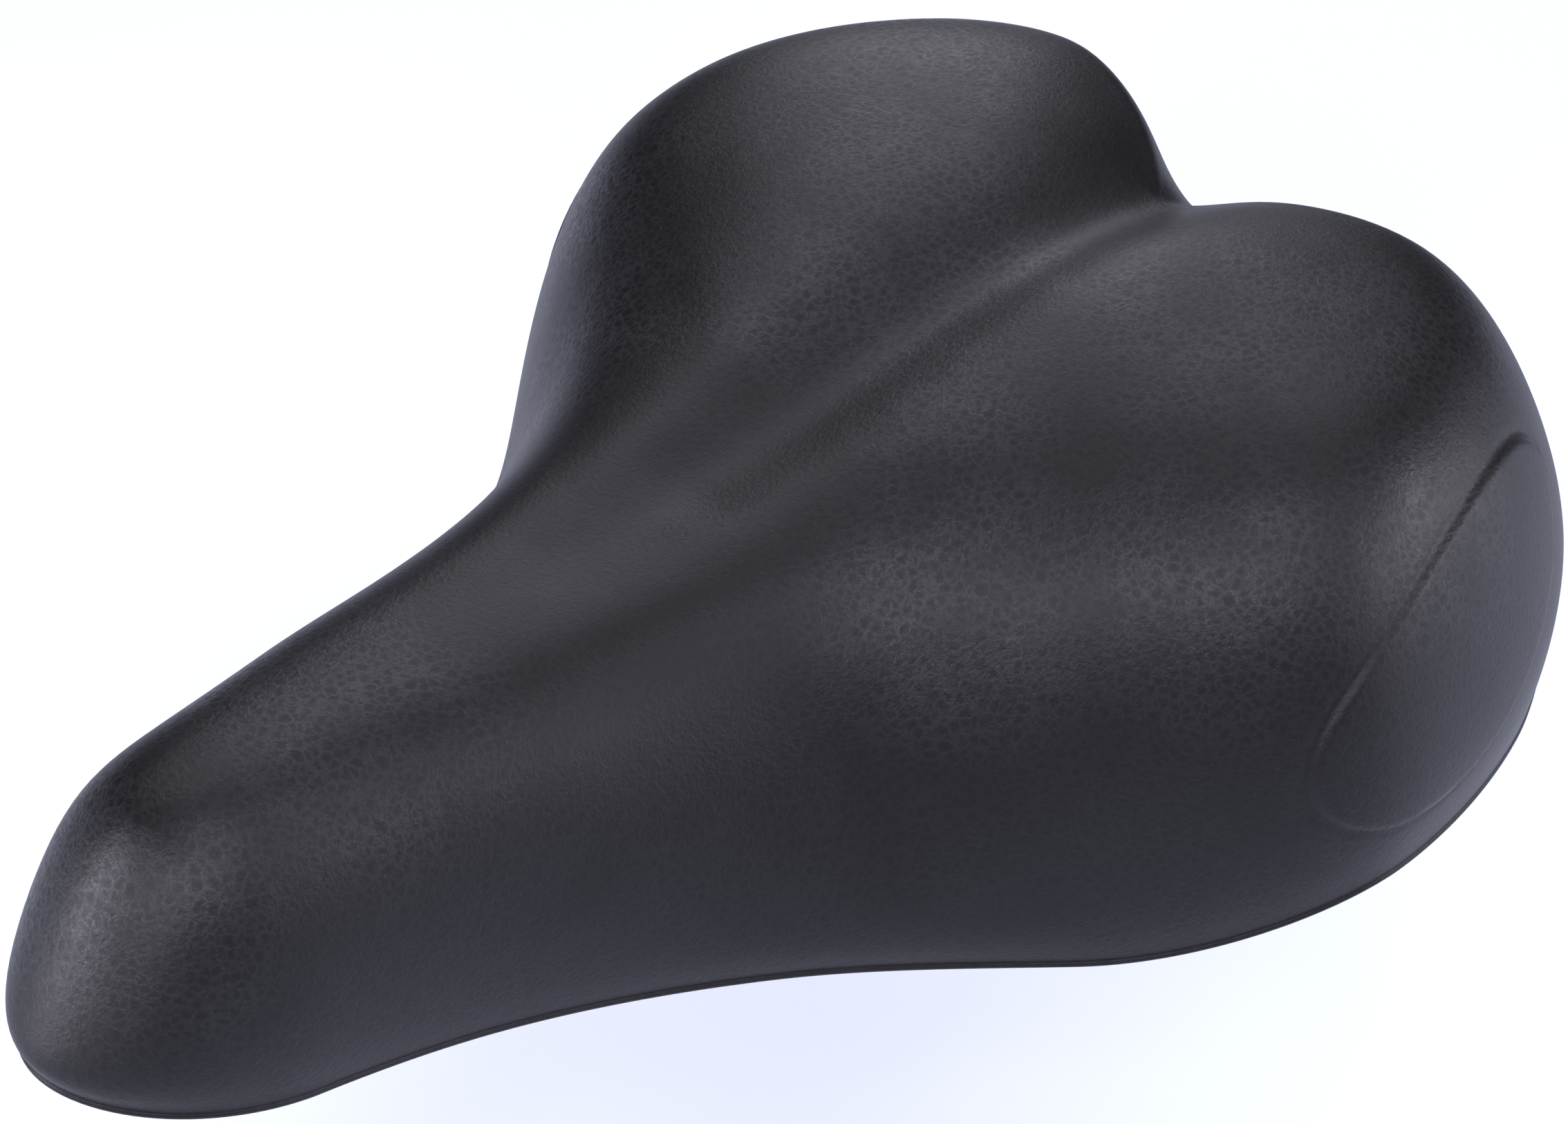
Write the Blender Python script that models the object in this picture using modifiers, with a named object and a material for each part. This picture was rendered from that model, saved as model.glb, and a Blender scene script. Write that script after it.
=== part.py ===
"""Comfort bicycle saddle, modelled as an assembly of separate parts. Metres, +Z up.

The origin lies midway between the two rails, on their axes, in the middle of the straight stretch that a
seatpost clamps. The nose points to -Y, the rear to +Y and the rider's left to +X.
A station is a distance back from the nose tip. A level is a height above the cover's lower edge.
"""

import math

import bmesh
import bpy
import numpy as np
from mathutils import Matrix, Vector

# Frame
CLAMP_STATION = 0.158
RAIL_LEVEL = -0.016

# Plan of the pad, as half widths at stations
LENGTH = 0.270
NOSE_LENGTH = 0.0375
NOSE_HALF = 0.0275
NOSE_SLOPE = 0.03
WIDEST_STATION = 0.198
WIDEST_HALF = 0.0985
SIDE_STATIONS = (NOSE_LENGTH, 0.065, 0.112, 0.147, WIDEST_STATION)
SIDE_HALVES = (NOSE_HALF, 0.030, 0.045, 0.066, WIDEST_HALF)
LOBE_HALF = 0.060
NOTCH_DEPTH = 0.0095
NOSE_SQUARENESS = 1.95
TAIL_SQUARENESS = 1.72

# Levels of the lower edge and of the crown along the middle
EDGE_STATIONS = (0.0, 0.112, 0.153, WIDEST_STATION, 0.239, LENGTH)
EDGE_LEVELS = (0.017, -0.002, -0.007, 0.0045, 0.0045, 0.020)
CROWN_STATIONS = (0.0, 0.030, 0.076, 0.132, 0.214, LENGTH)
CROWN_LEVELS = (0.033, 0.059, 0.060, 0.0645, 0.077, 0.075)

# What is taken off the crown: towards the sides, in the valley between the lobes and in the channel
FALL_STATIONS = (0.0, 0.061, 0.132, 0.219, LENGTH)
SIDE_FALLS = (0.0, -0.0145, 0.032, 0.0065, 0.0245)
VALLEY_DEPTHS = (0.0, -0.002, 0.002, 0.003, 0.0145)
VALLEY_HALF = 0.017
VALLEY_OPENING = 1.25
CHANNEL_DEPTHS = (0.0, 0.0, 0.002, 0.003, 0.002)
CHANNEL_HALF = 0.0075
FLAT_SHARE = 0.17

# The rounded shoulder between the lower edge and the crown
SHOULDER_STATIONS = (0.0, 0.041, 0.132, 0.219, LENGTH)
SHOULDER_RADII = (0.0235, 0.0235, 0.032, 0.0315, 0.030)
SQUARENESS_STATIONS = (0.030, 0.130, 0.230)
SHOULDER_SQUARENESS = (1.9, 2.33, 2.3)
EDGE_TUCK = 0.003
EDGE_TUCK_SHARE = 0.35
MOST_SHOULDER_SHARE = 0.75
FRONT_POLE = 0.024
REAR_POLE = 0.022
OPENING_STATION = 0.229
TAIL_REACH = 0.025
LEAST_HALF = 0.012
LEAST_TAIL_SHARE = 0.05
OUTERMOST_SHARE = 1.5
LARGEST_RADIUS_SHARE = 0.98

# Layers
COVER_THICKNESS = 0.0012
GAP = 0.0003
FOAM_INSET = COVER_THICKNESS + 0.0007
HEM_STATIONS = (0.0, 0.065, 0.120, LENGTH)
HEM_WIDTHS = (0.0045, 0.0045, 0.010, 0.010)
PAN_THICKNESS = 0.0028
PAN_INSET = EDGE_TUCK + FOAM_INSET
PAN_LIFT = COVER_THICKNESS + 0.0008
PAN_STATIONS = (0.0, 0.025, 0.060, 0.130, 0.210, 0.250, LENGTH)
PAN_LEVELS = (0.022, 0.025, 0.030, 0.028, 0.044, 0.042, 0.036)
PAN_SHOULDERS = (0.012, 0.012, 0.014, 0.018, 0.026, 0.026, 0.024)
PAN_SQUARENESS = 2.08
FOAM_CLEARANCE = 0.0006

# Rails
RAIL_RADIUS = 0.0035
RAIL_SPACING = 0.044
NOSE_BAR_STATION = 0.038
NOSE_BAR_LEVEL = 0.011
NOSE_BAR_HALF = 0.016
NOSE_BEND = 0.008
CLAMP_BEND = 0.030
REAR_BEND = 0.020
RAIL_END_HALF = 0.032
RAIL_END_STATION = 0.244
LEG_HALF = 0.0205
LEG_STATION = 0.095
LEG_LEVEL = -0.005
LEG_BEND = 0.060
CLAMP_CORNERS = (0.121, 0.200)
SPREAD_CORNER = 0.219
BRIDGE_STATION = 0.225
BRIDGE_HALF_LENGTH = 0.060
BRIDGE_HALF_WIDTH = 0.012
BRIDGE_THICKNESS = 0.003
BRIDGE_CORNER = 0.008
CAP_RADIUS = 0.0048
CAP_END = 0.0016

# Suspension
ELASTOMER_HALF = 0.046
ELASTOMER_RADIUS = 0.013
ELASTOMER_LOW = 0.0021
ELASTOMER_HIGH = 0.0200
GROOVE_DEPTH = 0.002
GROOVE_HALF = 0.003
SEAT_RADIUS = 0.015
SEAT_THICKNESS = 0.0015
SEAT_RIM = 0.0018
BOSS_RADIUS = 0.010
BOSS_LEVEL = ELASTOMER_HIGH + 2 * GAP + SEAT_THICKNESS
BOLT_RADIUS = 0.003
BOLT_HOLE_RADIUS = 0.0045
HEX_RADIUS = 0.00577
BOLT_HEAD = 0.004
WASHER_RADIUS = 0.007
WASHER_THICKNESS = 0.0015
NUT_LEVEL = 0.033
NUT_HEIGHT = 0.005

# Nose anchor
BUSHING_BORE = RAIL_RADIUS + GAP
BUSHING_RADIUS = 0.0055
BUSHING_HALF = 0.0063
COLLAR_RADIUS = 0.007
COLLAR_WIDTH = 0.0012
BLOCK_HALF = 0.006
BLOCK_FRONT = 0.020
BLOCK_REAR = 0.058
BLOCK_LEVEL = 0.009
CLIP_THICKNESS = 0.002
SCREW_STATIONS = {"front": 0.026, "rear": 0.051}
SCREW_RADIUS = 0.002
SCREW_HEAD_RADIUS = 0.004
SCREW_HEAD = 0.0024
SCREW_LENGTH = 0.012
SCREW_POINT = 0.0006
SCREW_TAPER = 0.0015
SCREW_HEAD_TOP_SHARE = 0.7

# Ribs under the pan: station, half length across, level of the lower edge
CROSS_RIBS = ((0.085, 0.030, 0.021), (0.110, 0.040, 0.020), (0.196, 0.075, 0.030))
LONG_RIB_HALF = 0.062
LONG_RIB_STATIONS = (0.165, 0.250)
LONG_RIB_LEVEL = 0.026
RIB_HALF_THICKNESS = 0.00125
ABOVE_PAN = 0.090
BELOW_PAN = -0.020
CUT_DEPTH = 0.030

# Small edges
FINE_EDGE = 0.0003
PLATE_EDGE = 0.0005
EDGE_ROUND = 0.001

# Fineness
COLUMNS = 35
TURN_POINTS = 40
SIDE_POINTS = 80
PAD_ANGLES = (0, 7, 19, 34, 51, 70, 90)
PAD_STEPS = (0.4, 0.7, 0.88, 1.0)
PAN_ANGLES = (0, 12, 32, 58, 90)
PAN_STEPS = (0.5, 1.0)
ROUND_STEPS = 20
SMALL_STEPS = 16
CRADLE_POINTS = 11
CORNER_SEGMENTS = 4
WIRE_RESOLUTION = 3
BEND_STEP = math.radians(9)
SHORT = 1e-5

SIDES = {"left": 1, "right": -1}


def place(x, station, level):
    """A point of the frame from a half width, a station and a level."""
    return Vector((x, station - CLAMP_STATION, level - RAIL_LEVEL))


def cubic_through(knots, values, slopes):
    """The piecewise cubic with these values and slopes at the knots."""

    def at(where):
        where = np.clip(where, knots[0], knots[-1])
        i = np.clip(np.searchsorted(knots, where) - 1, 0, len(knots) - 2)
        span = knots[i + 1] - knots[i]
        t = (where - knots[i]) / span
        low = values[i] * (1 + 2 * t) * (1 - t) ** 2 + slopes[i] * span * t * (1 - t) ** 2
        high = values[i + 1] * t**2 * (3 - 2 * t) - slopes[i + 1] * span * t**2 * (1 - t)
        return low + high

    return at


def end_slope(span, next_span, chord, next_chord):
    slope = ((2 * span + next_span) * chord - span * next_chord) / (span + next_span)
    if slope * chord <= 0:
        return 0.0
    return slope if abs(slope) < 3 * abs(chord) else 3 * chord


def steady_curve(knots, values):
    """A smooth curve through the values at the knots that never swings past them."""
    knots, values = np.array(knots), np.array(values)
    spans = np.diff(knots)
    chords = np.diff(values) / spans
    slopes = np.zeros(len(knots))
    for i in range(1, len(knots) - 1):
        if chords[i - 1] * chords[i] > 0:
            first = 2 * spans[i] + spans[i - 1]
            second = spans[i] + 2 * spans[i - 1]
            slopes[i] = (first + second) / (first / chords[i - 1] + second / chords[i])
    slopes[0] = end_slope(spans[0], spans[1], chords[0], chords[1])
    slopes[-1] = end_slope(spans[-1], spans[-2], chords[-1], chords[-2])
    return cubic_through(knots, values, slopes)


def flowing_curve(knots, values, first_slope, last_slope):
    """The spline through the values at the knots with the given slopes at its ends."""
    knots, values = np.array(knots), np.array(values)
    spans = np.diff(knots)
    chords = np.diff(values) / spans
    count = len(knots)
    system = np.eye(count)
    goal = np.zeros(count)
    goal[0], goal[-1] = first_slope, last_slope
    for i in range(1, count - 1):
        system[i, i - 1 : i + 2] = (spans[i], 2 * (spans[i - 1] + spans[i]), spans[i - 1])
        goal[i] = 3 * (spans[i] * chords[i - 1] + spans[i - 1] * chords[i])
    return cubic_through(knots, values, np.linalg.solve(system, goal))


side_half = flowing_curve(SIDE_STATIONS, SIDE_HALVES, NOSE_SLOPE, 0.0)
edge_level = steady_curve(EDGE_STATIONS, EDGE_LEVELS)
crown_level = steady_curve(CROWN_STATIONS, CROWN_LEVELS)
side_fall = steady_curve(FALL_STATIONS, SIDE_FALLS)
valley_depth = steady_curve(FALL_STATIONS, VALLEY_DEPTHS)
channel_depth = steady_curve(FALL_STATIONS, CHANNEL_DEPTHS)
shoulder_radius = steady_curve(SHOULDER_STATIONS, SHOULDER_RADII)
shoulder_squareness = steady_curve(SQUARENESS_STATIONS, SHOULDER_SQUARENESS)
hem_width = steady_curve(HEM_STATIONS, HEM_WIDTHS)
pan_level = steady_curve(PAN_STATIONS, PAN_LEVELS)
pan_shoulder = steady_curve(PAN_STATIONS, PAN_SHOULDERS)


def pad_outline():
    """Half of the pad's plan, from the nose tip round the lobe to the rear notch: (x, station) rows."""
    turn = np.linspace(0, math.pi / 2, TURN_POINTS)
    nose = NOSE_HALF * np.sin(turn) ** (2 / NOSE_SQUARENESS)
    nose_station = NOSE_LENGTH * (1 - np.cos(turn) ** (2 / NOSE_SQUARENESS))
    along = np.linspace(NOSE_LENGTH, WIDEST_STATION, SIDE_POINTS)[1:]
    lobe = LOBE_HALF + (WIDEST_HALF - LOBE_HALF) * np.cos(turn) ** (2 / TAIL_SQUARENESS)
    lobe_station = WIDEST_STATION + (LENGTH - WIDEST_STATION) * np.sin(turn) ** (2 / TAIL_SQUARENESS)
    share = np.linspace(0, 1, TURN_POINTS)[1:]
    notch_station = LENGTH - NOTCH_DEPTH * (1 - np.cos(math.pi * share)) / 2
    x = np.concatenate([nose, side_half(along), lobe[1:], LOBE_HALF * (1 - share)])
    station = np.concatenate([nose_station, along, lobe_station[1:], notch_station])
    length = np.concatenate([[0], np.cumsum(np.hypot(np.diff(x), np.diff(station)))])
    even = np.linspace(0, length[-1], COLUMNS)
    return np.stack([np.interp(even, length, x), np.interp(even, length, station)], 1)


def inward(rim):
    """Unit vectors in plan that point into the outline."""
    along = np.gradient(rim, axis=0)
    along[0] = (1, 0)
    along[-1] = (-1, 0)
    along /= np.linalg.norm(along, axis=1)[:, None]
    return np.stack([-along[:, 1], along[:, 0]], 1)


def pad_half_width(station):
    """How wide half of the pad is, which sets how far out a point of the crown lies."""
    past = np.clip((station - WIDEST_STATION) / (LENGTH - WIDEST_STATION + TAIL_REACH), 0, 1)
    short = np.clip(1 - station / NOSE_LENGTH, 0, 1)
    front = NOSE_HALF * (1 - short**NOSE_SQUARENESS) ** (1 / NOSE_SQUARENESS)
    side = np.where(station < NOSE_LENGTH, np.maximum(front, LEAST_HALF), side_half(station))
    return side * np.sqrt(np.clip(1 - past**2, LEAST_TAIL_SHARE, 1))


def crown(x, station):
    """The pad's upper surface before its shoulders are rounded."""
    share = x / pad_half_width(station)
    outer = np.clip((share - FLAT_SHARE) / (1 - FLAT_SHARE), 0, OUTERMOST_SHARE)
    opening = np.clip((station - OPENING_STATION) / (LENGTH - OPENING_STATION), 0, 1)
    valley = np.exp(-((x / (VALLEY_HALF * (1 + VALLEY_OPENING * opening))) ** 2))
    channel = np.exp(-((x / CHANNEL_HALF) ** 2))
    top = crown_level(station) - side_fall(station) * outer**2
    return top - valley_depth(station) * valley - channel_depth(station) * channel


def dome(rim, low, top, radius, squareness, angles, steps, tuck=0.0):
    """Rows of points from a rim up over a rounded shoulder and in to the centre line, column by column."""
    way_in = inward(rim)
    front = FRONT_POLE
    rear = LENGTH - NOTCH_DEPTH - REAR_POLE
    share = np.clip((rim[:, 1] - front) / (LENGTH - REAR_POLE - front), 0, 1)
    centre = np.stack([0 * share, front + (rear - front) * share], 1)
    total = np.linalg.norm(centre - rim, axis=1)
    radius = np.minimum(radius, LARGEST_RADIUS_SHARE * total)
    reach = np.minimum(radius, MOST_SHOULDER_SHARE * total)
    distances = [reach * (1 - np.cos(angle)) for angle in np.radians(angles)]
    distances += [reach + step * (total - reach) for step in steps]
    grid = []
    for distance in distances:
        inside = np.clip(1 - distance / radius, 0, 1)
        rise = (1 - inside**squareness) ** (1 / squareness)
        plan = rim + (centre - rim) * (distance / total)[:, None]
        level = low + (top(plan[:, 0], plan[:, 1]) - low) * rise
        plan = plan + way_in * tuck * (np.clip(1 - rise / EDGE_TUCK_SHARE, 0, 1) ** 2)[:, None]
        plan[[0, -1], 0] = 0.0
        grid.append(np.column_stack([plan, level]))
    return np.array(grid)


def pad_grid():
    """The cover's outer surface."""
    rim = pad_outline()
    station = rim[:, 1]
    radius = shoulder_radius(station)
    squareness = shoulder_squareness(station)
    return dome(rim, edge_level(station), crown, radius, squareness, PAD_ANGLES, PAD_STEPS, EDGE_TUCK)


def pan_grid():
    """The base pan's upper surface."""
    outline = pad_outline()
    rim = outline + inward(outline) * PAN_INSET
    low = edge_level(outline[:, 1]) + PAN_LIFT
    radius = pan_shoulder(outline[:, 1])
    return dome(
        rim, low, lambda x, station: pan_level(station), radius, PAN_SQUARENESS, PAN_ANGLES, PAN_STEPS
    )


def moved_in(grid, distance):
    """The same grid moved inwards along its normals. Points that share a place move together."""
    facing = np.cross(grid[1:, 1:] - grid[:-1, :-1], grid[1:, :-1] - grid[:-1, 1:])
    flat = grid.reshape(-1, 3).round(6)
    _, index = np.unique(flat, axis=0, return_inverse=True)
    index = index.reshape(grid.shape[:2])
    normals = np.zeros((index.max() + 1, 3))
    for corner in (index[:-1, :-1], index[:-1, 1:], index[1:, :-1], index[1:, 1:]):
        np.add.at(normals, corner, facing)
    normals = normals[index]
    normals[np.abs(grid[..., 0]) < SHORT, 0] = 0.0
    normals /= np.linalg.norm(normals, axis=-1, keepdims=True)
    return grid - normals * distance


def new_object(name, mesh, collection, material=None, parent=None):
    obj = bpy.data.objects.new(name, mesh)
    collection.objects.link(obj)
    if material:
        mesh.materials.append(material)
    if parent:
        obj.parent = parent
        obj.matrix_parent_inverse = Matrix.Translation(parent.location).inverted()
    if material is None:
        obj.hide_render = True
        obj.display_type = "WIRE"
    return obj


def grid_faces(bm, grid, flip=False):
    """Faces over rows of points, split along one diagonal so that nested layers keep their gaps."""
    rows = [[bm.verts.new(place(*point)) for point in row] for row in grid]
    for low, high in zip(rows, rows[1:]):
        for i in range(len(low) - 1):
            for corners in ([low[i], low[i + 1], high[i + 1]], [low[i], high[i + 1], high[i]]):
                bm.faces.new(corners[::-1] if flip else corners)
    return rows


def half_mesh(name, bm):
    """Ends a half that is open at the plane X = 0."""
    bmesh.ops.remove_doubles(bm, verts=bm.verts, dist=SHORT)
    bmesh.ops.dissolve_degenerate(bm, edges=bm.edges, dist=SHORT)
    for vertex in bm.verts:
        if abs(vertex.co.x) < SHORT:
            vertex.co.x = 0.0
    mesh = bpy.data.meshes.new(name)
    bm.to_mesh(mesh)
    bm.free()
    mesh.shade_smooth()
    return mesh


def mirror(obj):
    modifier = obj.modifiers.new("Mirror", "MIRROR")
    modifier.merge_threshold = SHORT


def solidify(obj, thickness):
    modifier = obj.modifiers.new("Solidify", "SOLIDIFY")
    modifier.thickness = thickness
    modifier.offset = -1.0
    modifier.use_even_offset = True


def boolean(obj, other, operation):
    modifier = obj.modifiers.new(operation.title(), "BOOLEAN")
    modifier.operation = operation
    modifier.object = other


def bevel(obj, width, segments=1):
    modifier = obj.modifiers.new("Bevel", "BEVEL")
    modifier.width = width
    modifier.segments = segments
    modifier.limit_method = "ANGLE"


def make_cover(collection, material, parent):
    """The skin: its outer surface and the hem folded in under the pan's rim, given a thickness."""
    grid = pad_grid()
    outline = pad_outline()
    hem = grid[0].copy()
    hem[:, :2] += inward(outline) * hem_width(outline[:, 1])[:, None]
    hem[[0, -1], 0] = 0.0
    bm = bmesh.new()
    grid_faces(bm, [hem, *grid])
    cover = new_object("cover", half_mesh("cover", bm), collection, material, parent)
    mirror(cover)
    solidify(cover, COVER_THICKNESS)


def make_foam(collection, material, parent):
    """The pad: between the cover and the pan, closed by a narrow band just above the pan's rim."""
    bm = bmesh.new()
    upper = grid_faces(bm, moved_in(pad_grid(), FOAM_INSET)[1:])
    lower = grid_faces(bm, moved_in(pan_grid(), -FOAM_CLEARANCE)[1:], flip=True)
    for i in range(COLUMNS - 1):
        bm.faces.new([upper[0][i + 1], upper[0][i], lower[0][i], lower[0][i + 1]])
    foam = new_object("foam_pad", half_mesh("foam_pad", bm), collection, material, parent)
    mirror(foam)


def box(name, low, high, collection, material=None, parent=None):
    """A box between two corners of the frame."""
    bm = bmesh.new()
    size = high - low
    bmesh.ops.create_cube(bm, size=1.0, matrix=Matrix.Diagonal((*size, 1.0)))
    mesh = bpy.data.meshes.new(name)
    bm.to_mesh(mesh)
    bm.free()
    obj = new_object(name, mesh, collection, material, parent)
    obj.location = (low + high) / 2
    return obj


def cylinder(name, centre, radius, depth, collection, axis="Z", sides=ROUND_STEPS):
    """A cylinder cutter or support, centred on a point of the frame."""
    bm = bmesh.new()
    bmesh.ops.create_cone(
        bm, cap_ends=True, segments=sides, radius1=radius, radius2=radius, depth=depth
    )
    mesh = bpy.data.meshes.new(name)
    bm.to_mesh(mesh)
    bm.free()
    obj = new_object(name, mesh, collection)
    obj.location = centre
    if axis == "X":
        obj.rotation_euler = (0, math.pi / 2, 0)
    return obj


def make_pan_core(collection):
    """The space under the middle of the pan's wall, which trims the ribs and bosses to the wall."""
    bm = bmesh.new()
    grid = moved_in(pan_grid(), PAN_THICKNESS / 2)
    floor = grid[0].copy()
    floor[:, 2] = BELOW_PAN
    rows = grid_faces(bm, [floor, *grid])
    bm.faces.new(rows[0][::-1])
    core = new_object("pan_core", half_mesh("pan_core", bm), collection)
    mirror(core)
    return core


def pan_supports(cutters):
    """Ribs, elastomer bosses and the nose block, each still to be trimmed by the core."""
    high = ABOVE_PAN
    supports = []
    for i, (station, half, level) in enumerate(CROSS_RIBS):
        low = place(-half, station - RIB_HALF_THICKNESS, level)
        supports.append(
            box(f"cross_rib_{i}", low, place(half, station + RIB_HALF_THICKNESS, high), cutters)
        )
    for side, sign in SIDES.items():
        middle = sign * LONG_RIB_HALF
        low = place(middle - RIB_HALF_THICKNESS, LONG_RIB_STATIONS[0], LONG_RIB_LEVEL)
        top = place(middle + RIB_HALF_THICKNESS, LONG_RIB_STATIONS[1], high)
        supports.append(box(f"long_rib_{side}", low, top, cutters))
        centre = place(sign * ELASTOMER_HALF, BRIDGE_STATION, (BOSS_LEVEL + high) / 2)
        supports.append(
            cylinder(f"boss_{side}", centre, BOSS_RADIUS, high - BOSS_LEVEL, cutters)
        )
    low = place(-BLOCK_HALF, BLOCK_FRONT, BLOCK_LEVEL)
    supports.append(box("nose_block", low, place(BLOCK_HALF, BLOCK_REAR, high), cutters))
    return supports


def pan_holes(cutters):
    """Bolt holes and nut pockets in the bosses, and the bushing's slot and screw holes in the nose block."""
    holes = []
    deep = ABOVE_PAN
    for side, sign in SIDES.items():
        x = sign * ELASTOMER_HALF
        centre = place(x, BRIDGE_STATION, NUT_LEVEL)
        bolt_hole = BOLT_RADIUS + GAP
        holes.append(
            cylinder(f"bolt_hole_{side}", centre, bolt_hole, 2 * deep, cutters, sides=SMALL_STEPS)
        )
        centre = place(x, BRIDGE_STATION, NUT_LEVEL - GAP + deep / 2)
        holes.append(cylinder(f"nut_pocket_{side}", centre, HEX_RADIUS + GAP, deep, cutters))
    centre = place(0, NOSE_BAR_STATION, NOSE_BAR_LEVEL)
    slot = BUSHING_RADIUS + GAP
    holes.append(cylinder("bushing_slot", centre, slot, CUT_DEPTH, cutters, axis="X"))
    low = place(-CUT_DEPTH / 2, NOSE_BAR_STATION - slot, 0.0)
    top = place(CUT_DEPTH / 2, NOSE_BAR_STATION + slot, NOSE_BAR_LEVEL)
    holes.append(box("bushing_way", low, top, cutters))
    for name, station in SCREW_STATIONS.items():
        centre = place(0, station, BLOCK_LEVEL)
        depth = 2 * (SCREW_LENGTH - CLIP_THICKNESS)
        holes.append(
            cylinder(f"screw_hole_{name}", centre, SCREW_RADIUS + GAP, depth, cutters, sides=SMALL_STEPS)
        )
    return holes


def make_pan(collection, cutters, material, parent):
    bm = bmesh.new()
    grid_faces(bm, pan_grid())
    pan = new_object("base_pan", half_mesh("base_pan", bm), collection, material, parent)
    mirror(pan)
    solidify(pan, PAN_THICKNESS)
    core = make_pan_core(cutters)
    for support in pan_supports(cutters):
        boolean(support, core, "INTERSECT")
        boolean(pan, support, "UNION")
    for hole in pan_holes(cutters):
        boolean(pan, hole, "DIFFERENCE")


def rounded_path(corners, radii):
    """Points along straight runs joined by arcs of the given radius at each inner corner."""
    points = [corners[0]]
    for before, corner, after, radius in zip(corners, corners[1:], corners[2:], radii):
        back = (before - corner).normalized()
        ahead = (after - corner).normalized()
        bend = math.pi - back.angle(ahead)
        reach = radius * math.tan(bend / 2)
        centre = corner + (back + ahead).normalized() * math.hypot(radius, reach)
        start, end = corner + back * reach - centre, corner + ahead * reach - centre
        count = max(2, round(bend / BEND_STEP))
        for i in range(count + 1):
            share = i / count
            weights = math.sin(bend * (1 - share)), math.sin(bend * share)
            points.append(centre + (start * weights[0] + end * weights[1]) / math.sin(bend))
    points.append(corners[-1])
    return points


def rail_corners():
    """The left half of the rail's bend points, from the middle of the nose bar to the rear end."""
    half = RAIL_SPACING / 2
    rear_level = -BRIDGE_THICKNESS - GAP - RAIL_RADIUS
    return [
        place(NOSE_BAR_HALF, NOSE_BAR_STATION, NOSE_BAR_LEVEL),
        place(LEG_HALF, LEG_STATION, LEG_LEVEL),
        place(half, CLAMP_CORNERS[0], RAIL_LEVEL),
        place(half, CLAMP_CORNERS[1], RAIL_LEVEL),
        place(RAIL_END_HALF, SPREAD_CORNER, rear_level),
        place(RAIL_END_HALF, RAIL_END_STATION, rear_level),
    ]


def make_rail(collection, material, parent):
    """One wire, bent to a U whose cross-bar is at the nose."""
    left = rail_corners()
    right = [Vector((-corner.x, corner.y, corner.z)) for corner in left[::-1]]
    bends = [REAR_BEND, CLAMP_BEND, CLAMP_BEND, LEG_BEND, NOSE_BEND]
    radii = bends + bends[::-1]
    points = rounded_path(right + left, radii)
    curve = bpy.data.curves.new("rail", "CURVE")
    curve.dimensions = "3D"
    curve.bevel_depth = RAIL_RADIUS
    curve.bevel_resolution = WIRE_RESOLUTION
    curve.use_fill_caps = True
    spline = curve.splines.new("POLY")
    spline.points.add(len(points) - 1)
    for point, position in zip(spline.points, points):
        point.co = (*position, 1.0)
    new_object("rail", curve, collection, material, parent)


def turned(name, profile, centre, collection, material, parent, axis="Z", steps=ROUND_STEPS):
    """A turned piece. The profile is (radius, height) points that run down its outer side."""
    mesh = bpy.data.meshes.new(name)
    ring = profile[0][0] > 0
    count = len(profile)
    edges = [(i, i + 1) for i in range(count - 1)]
    if ring:
        edges.append((count - 1, 0))
    mesh.from_pydata([(radius, 0.0, height) for radius, height in profile], edges, [])
    obj = new_object(name, mesh, collection, material, parent)
    obj.location = centre
    if axis == "X":
        obj.rotation_euler = (0, math.pi / 2, 0)
    if axis == "Y":
        obj.rotation_euler = (-math.pi / 2, 0, 0)
    screw = obj.modifiers.new("Screw", "SCREW")
    screw.steps = steps
    screw.render_steps = steps
    screw.use_merge_vertices = True
    screw.merge_threshold = SHORT
    screw.use_smooth_shade = True
    return obj


def ring_profile(inner, outer, low, high, chamfer):
    return [
        (outer, high - chamfer),
        (outer, low + chamfer),
        (outer - chamfer, low),
        (inner, low),
        (inner, high),
        (outer - chamfer, high),
    ]


def make_bridge(collection, cutters, material, parent):
    """The plate across the rail's ends, with a hole for each bolt."""
    low = place(-BRIDGE_HALF_LENGTH, BRIDGE_STATION - BRIDGE_HALF_WIDTH, -BRIDGE_THICKNESS)
    high = place(BRIDGE_HALF_LENGTH, BRIDGE_STATION + BRIDGE_HALF_WIDTH, 0.0)
    bridge = box("rear_bridge", low, high, collection, material, parent)
    corners = bridge.modifiers.new("Corners", "BEVEL")
    corners.width = BRIDGE_CORNER
    corners.segments = CORNER_SEGMENTS
    corners.limit_method = "WEIGHT"
    weights = bridge.data.attributes.new("bevel_weight_edge", "FLOAT", "EDGE")
    for edge in bridge.data.edges:
        first, second = (bridge.data.vertices[i].co for i in edge.vertices)
        weights.data[edge.index].value = float(abs(first.z - second.z) > SHORT)
    bevel(bridge, PLATE_EDGE)
    for side, sign in SIDES.items():
        centre = place(sign * ELASTOMER_HALF, BRIDGE_STATION, 0.0)
        hole = cylinder(f"bridge_hole_{side}", centre, BOLT_HOLE_RADIUS, CUT_DEPTH, cutters)
        boolean(bridge, hole, "DIFFERENCE")


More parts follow.
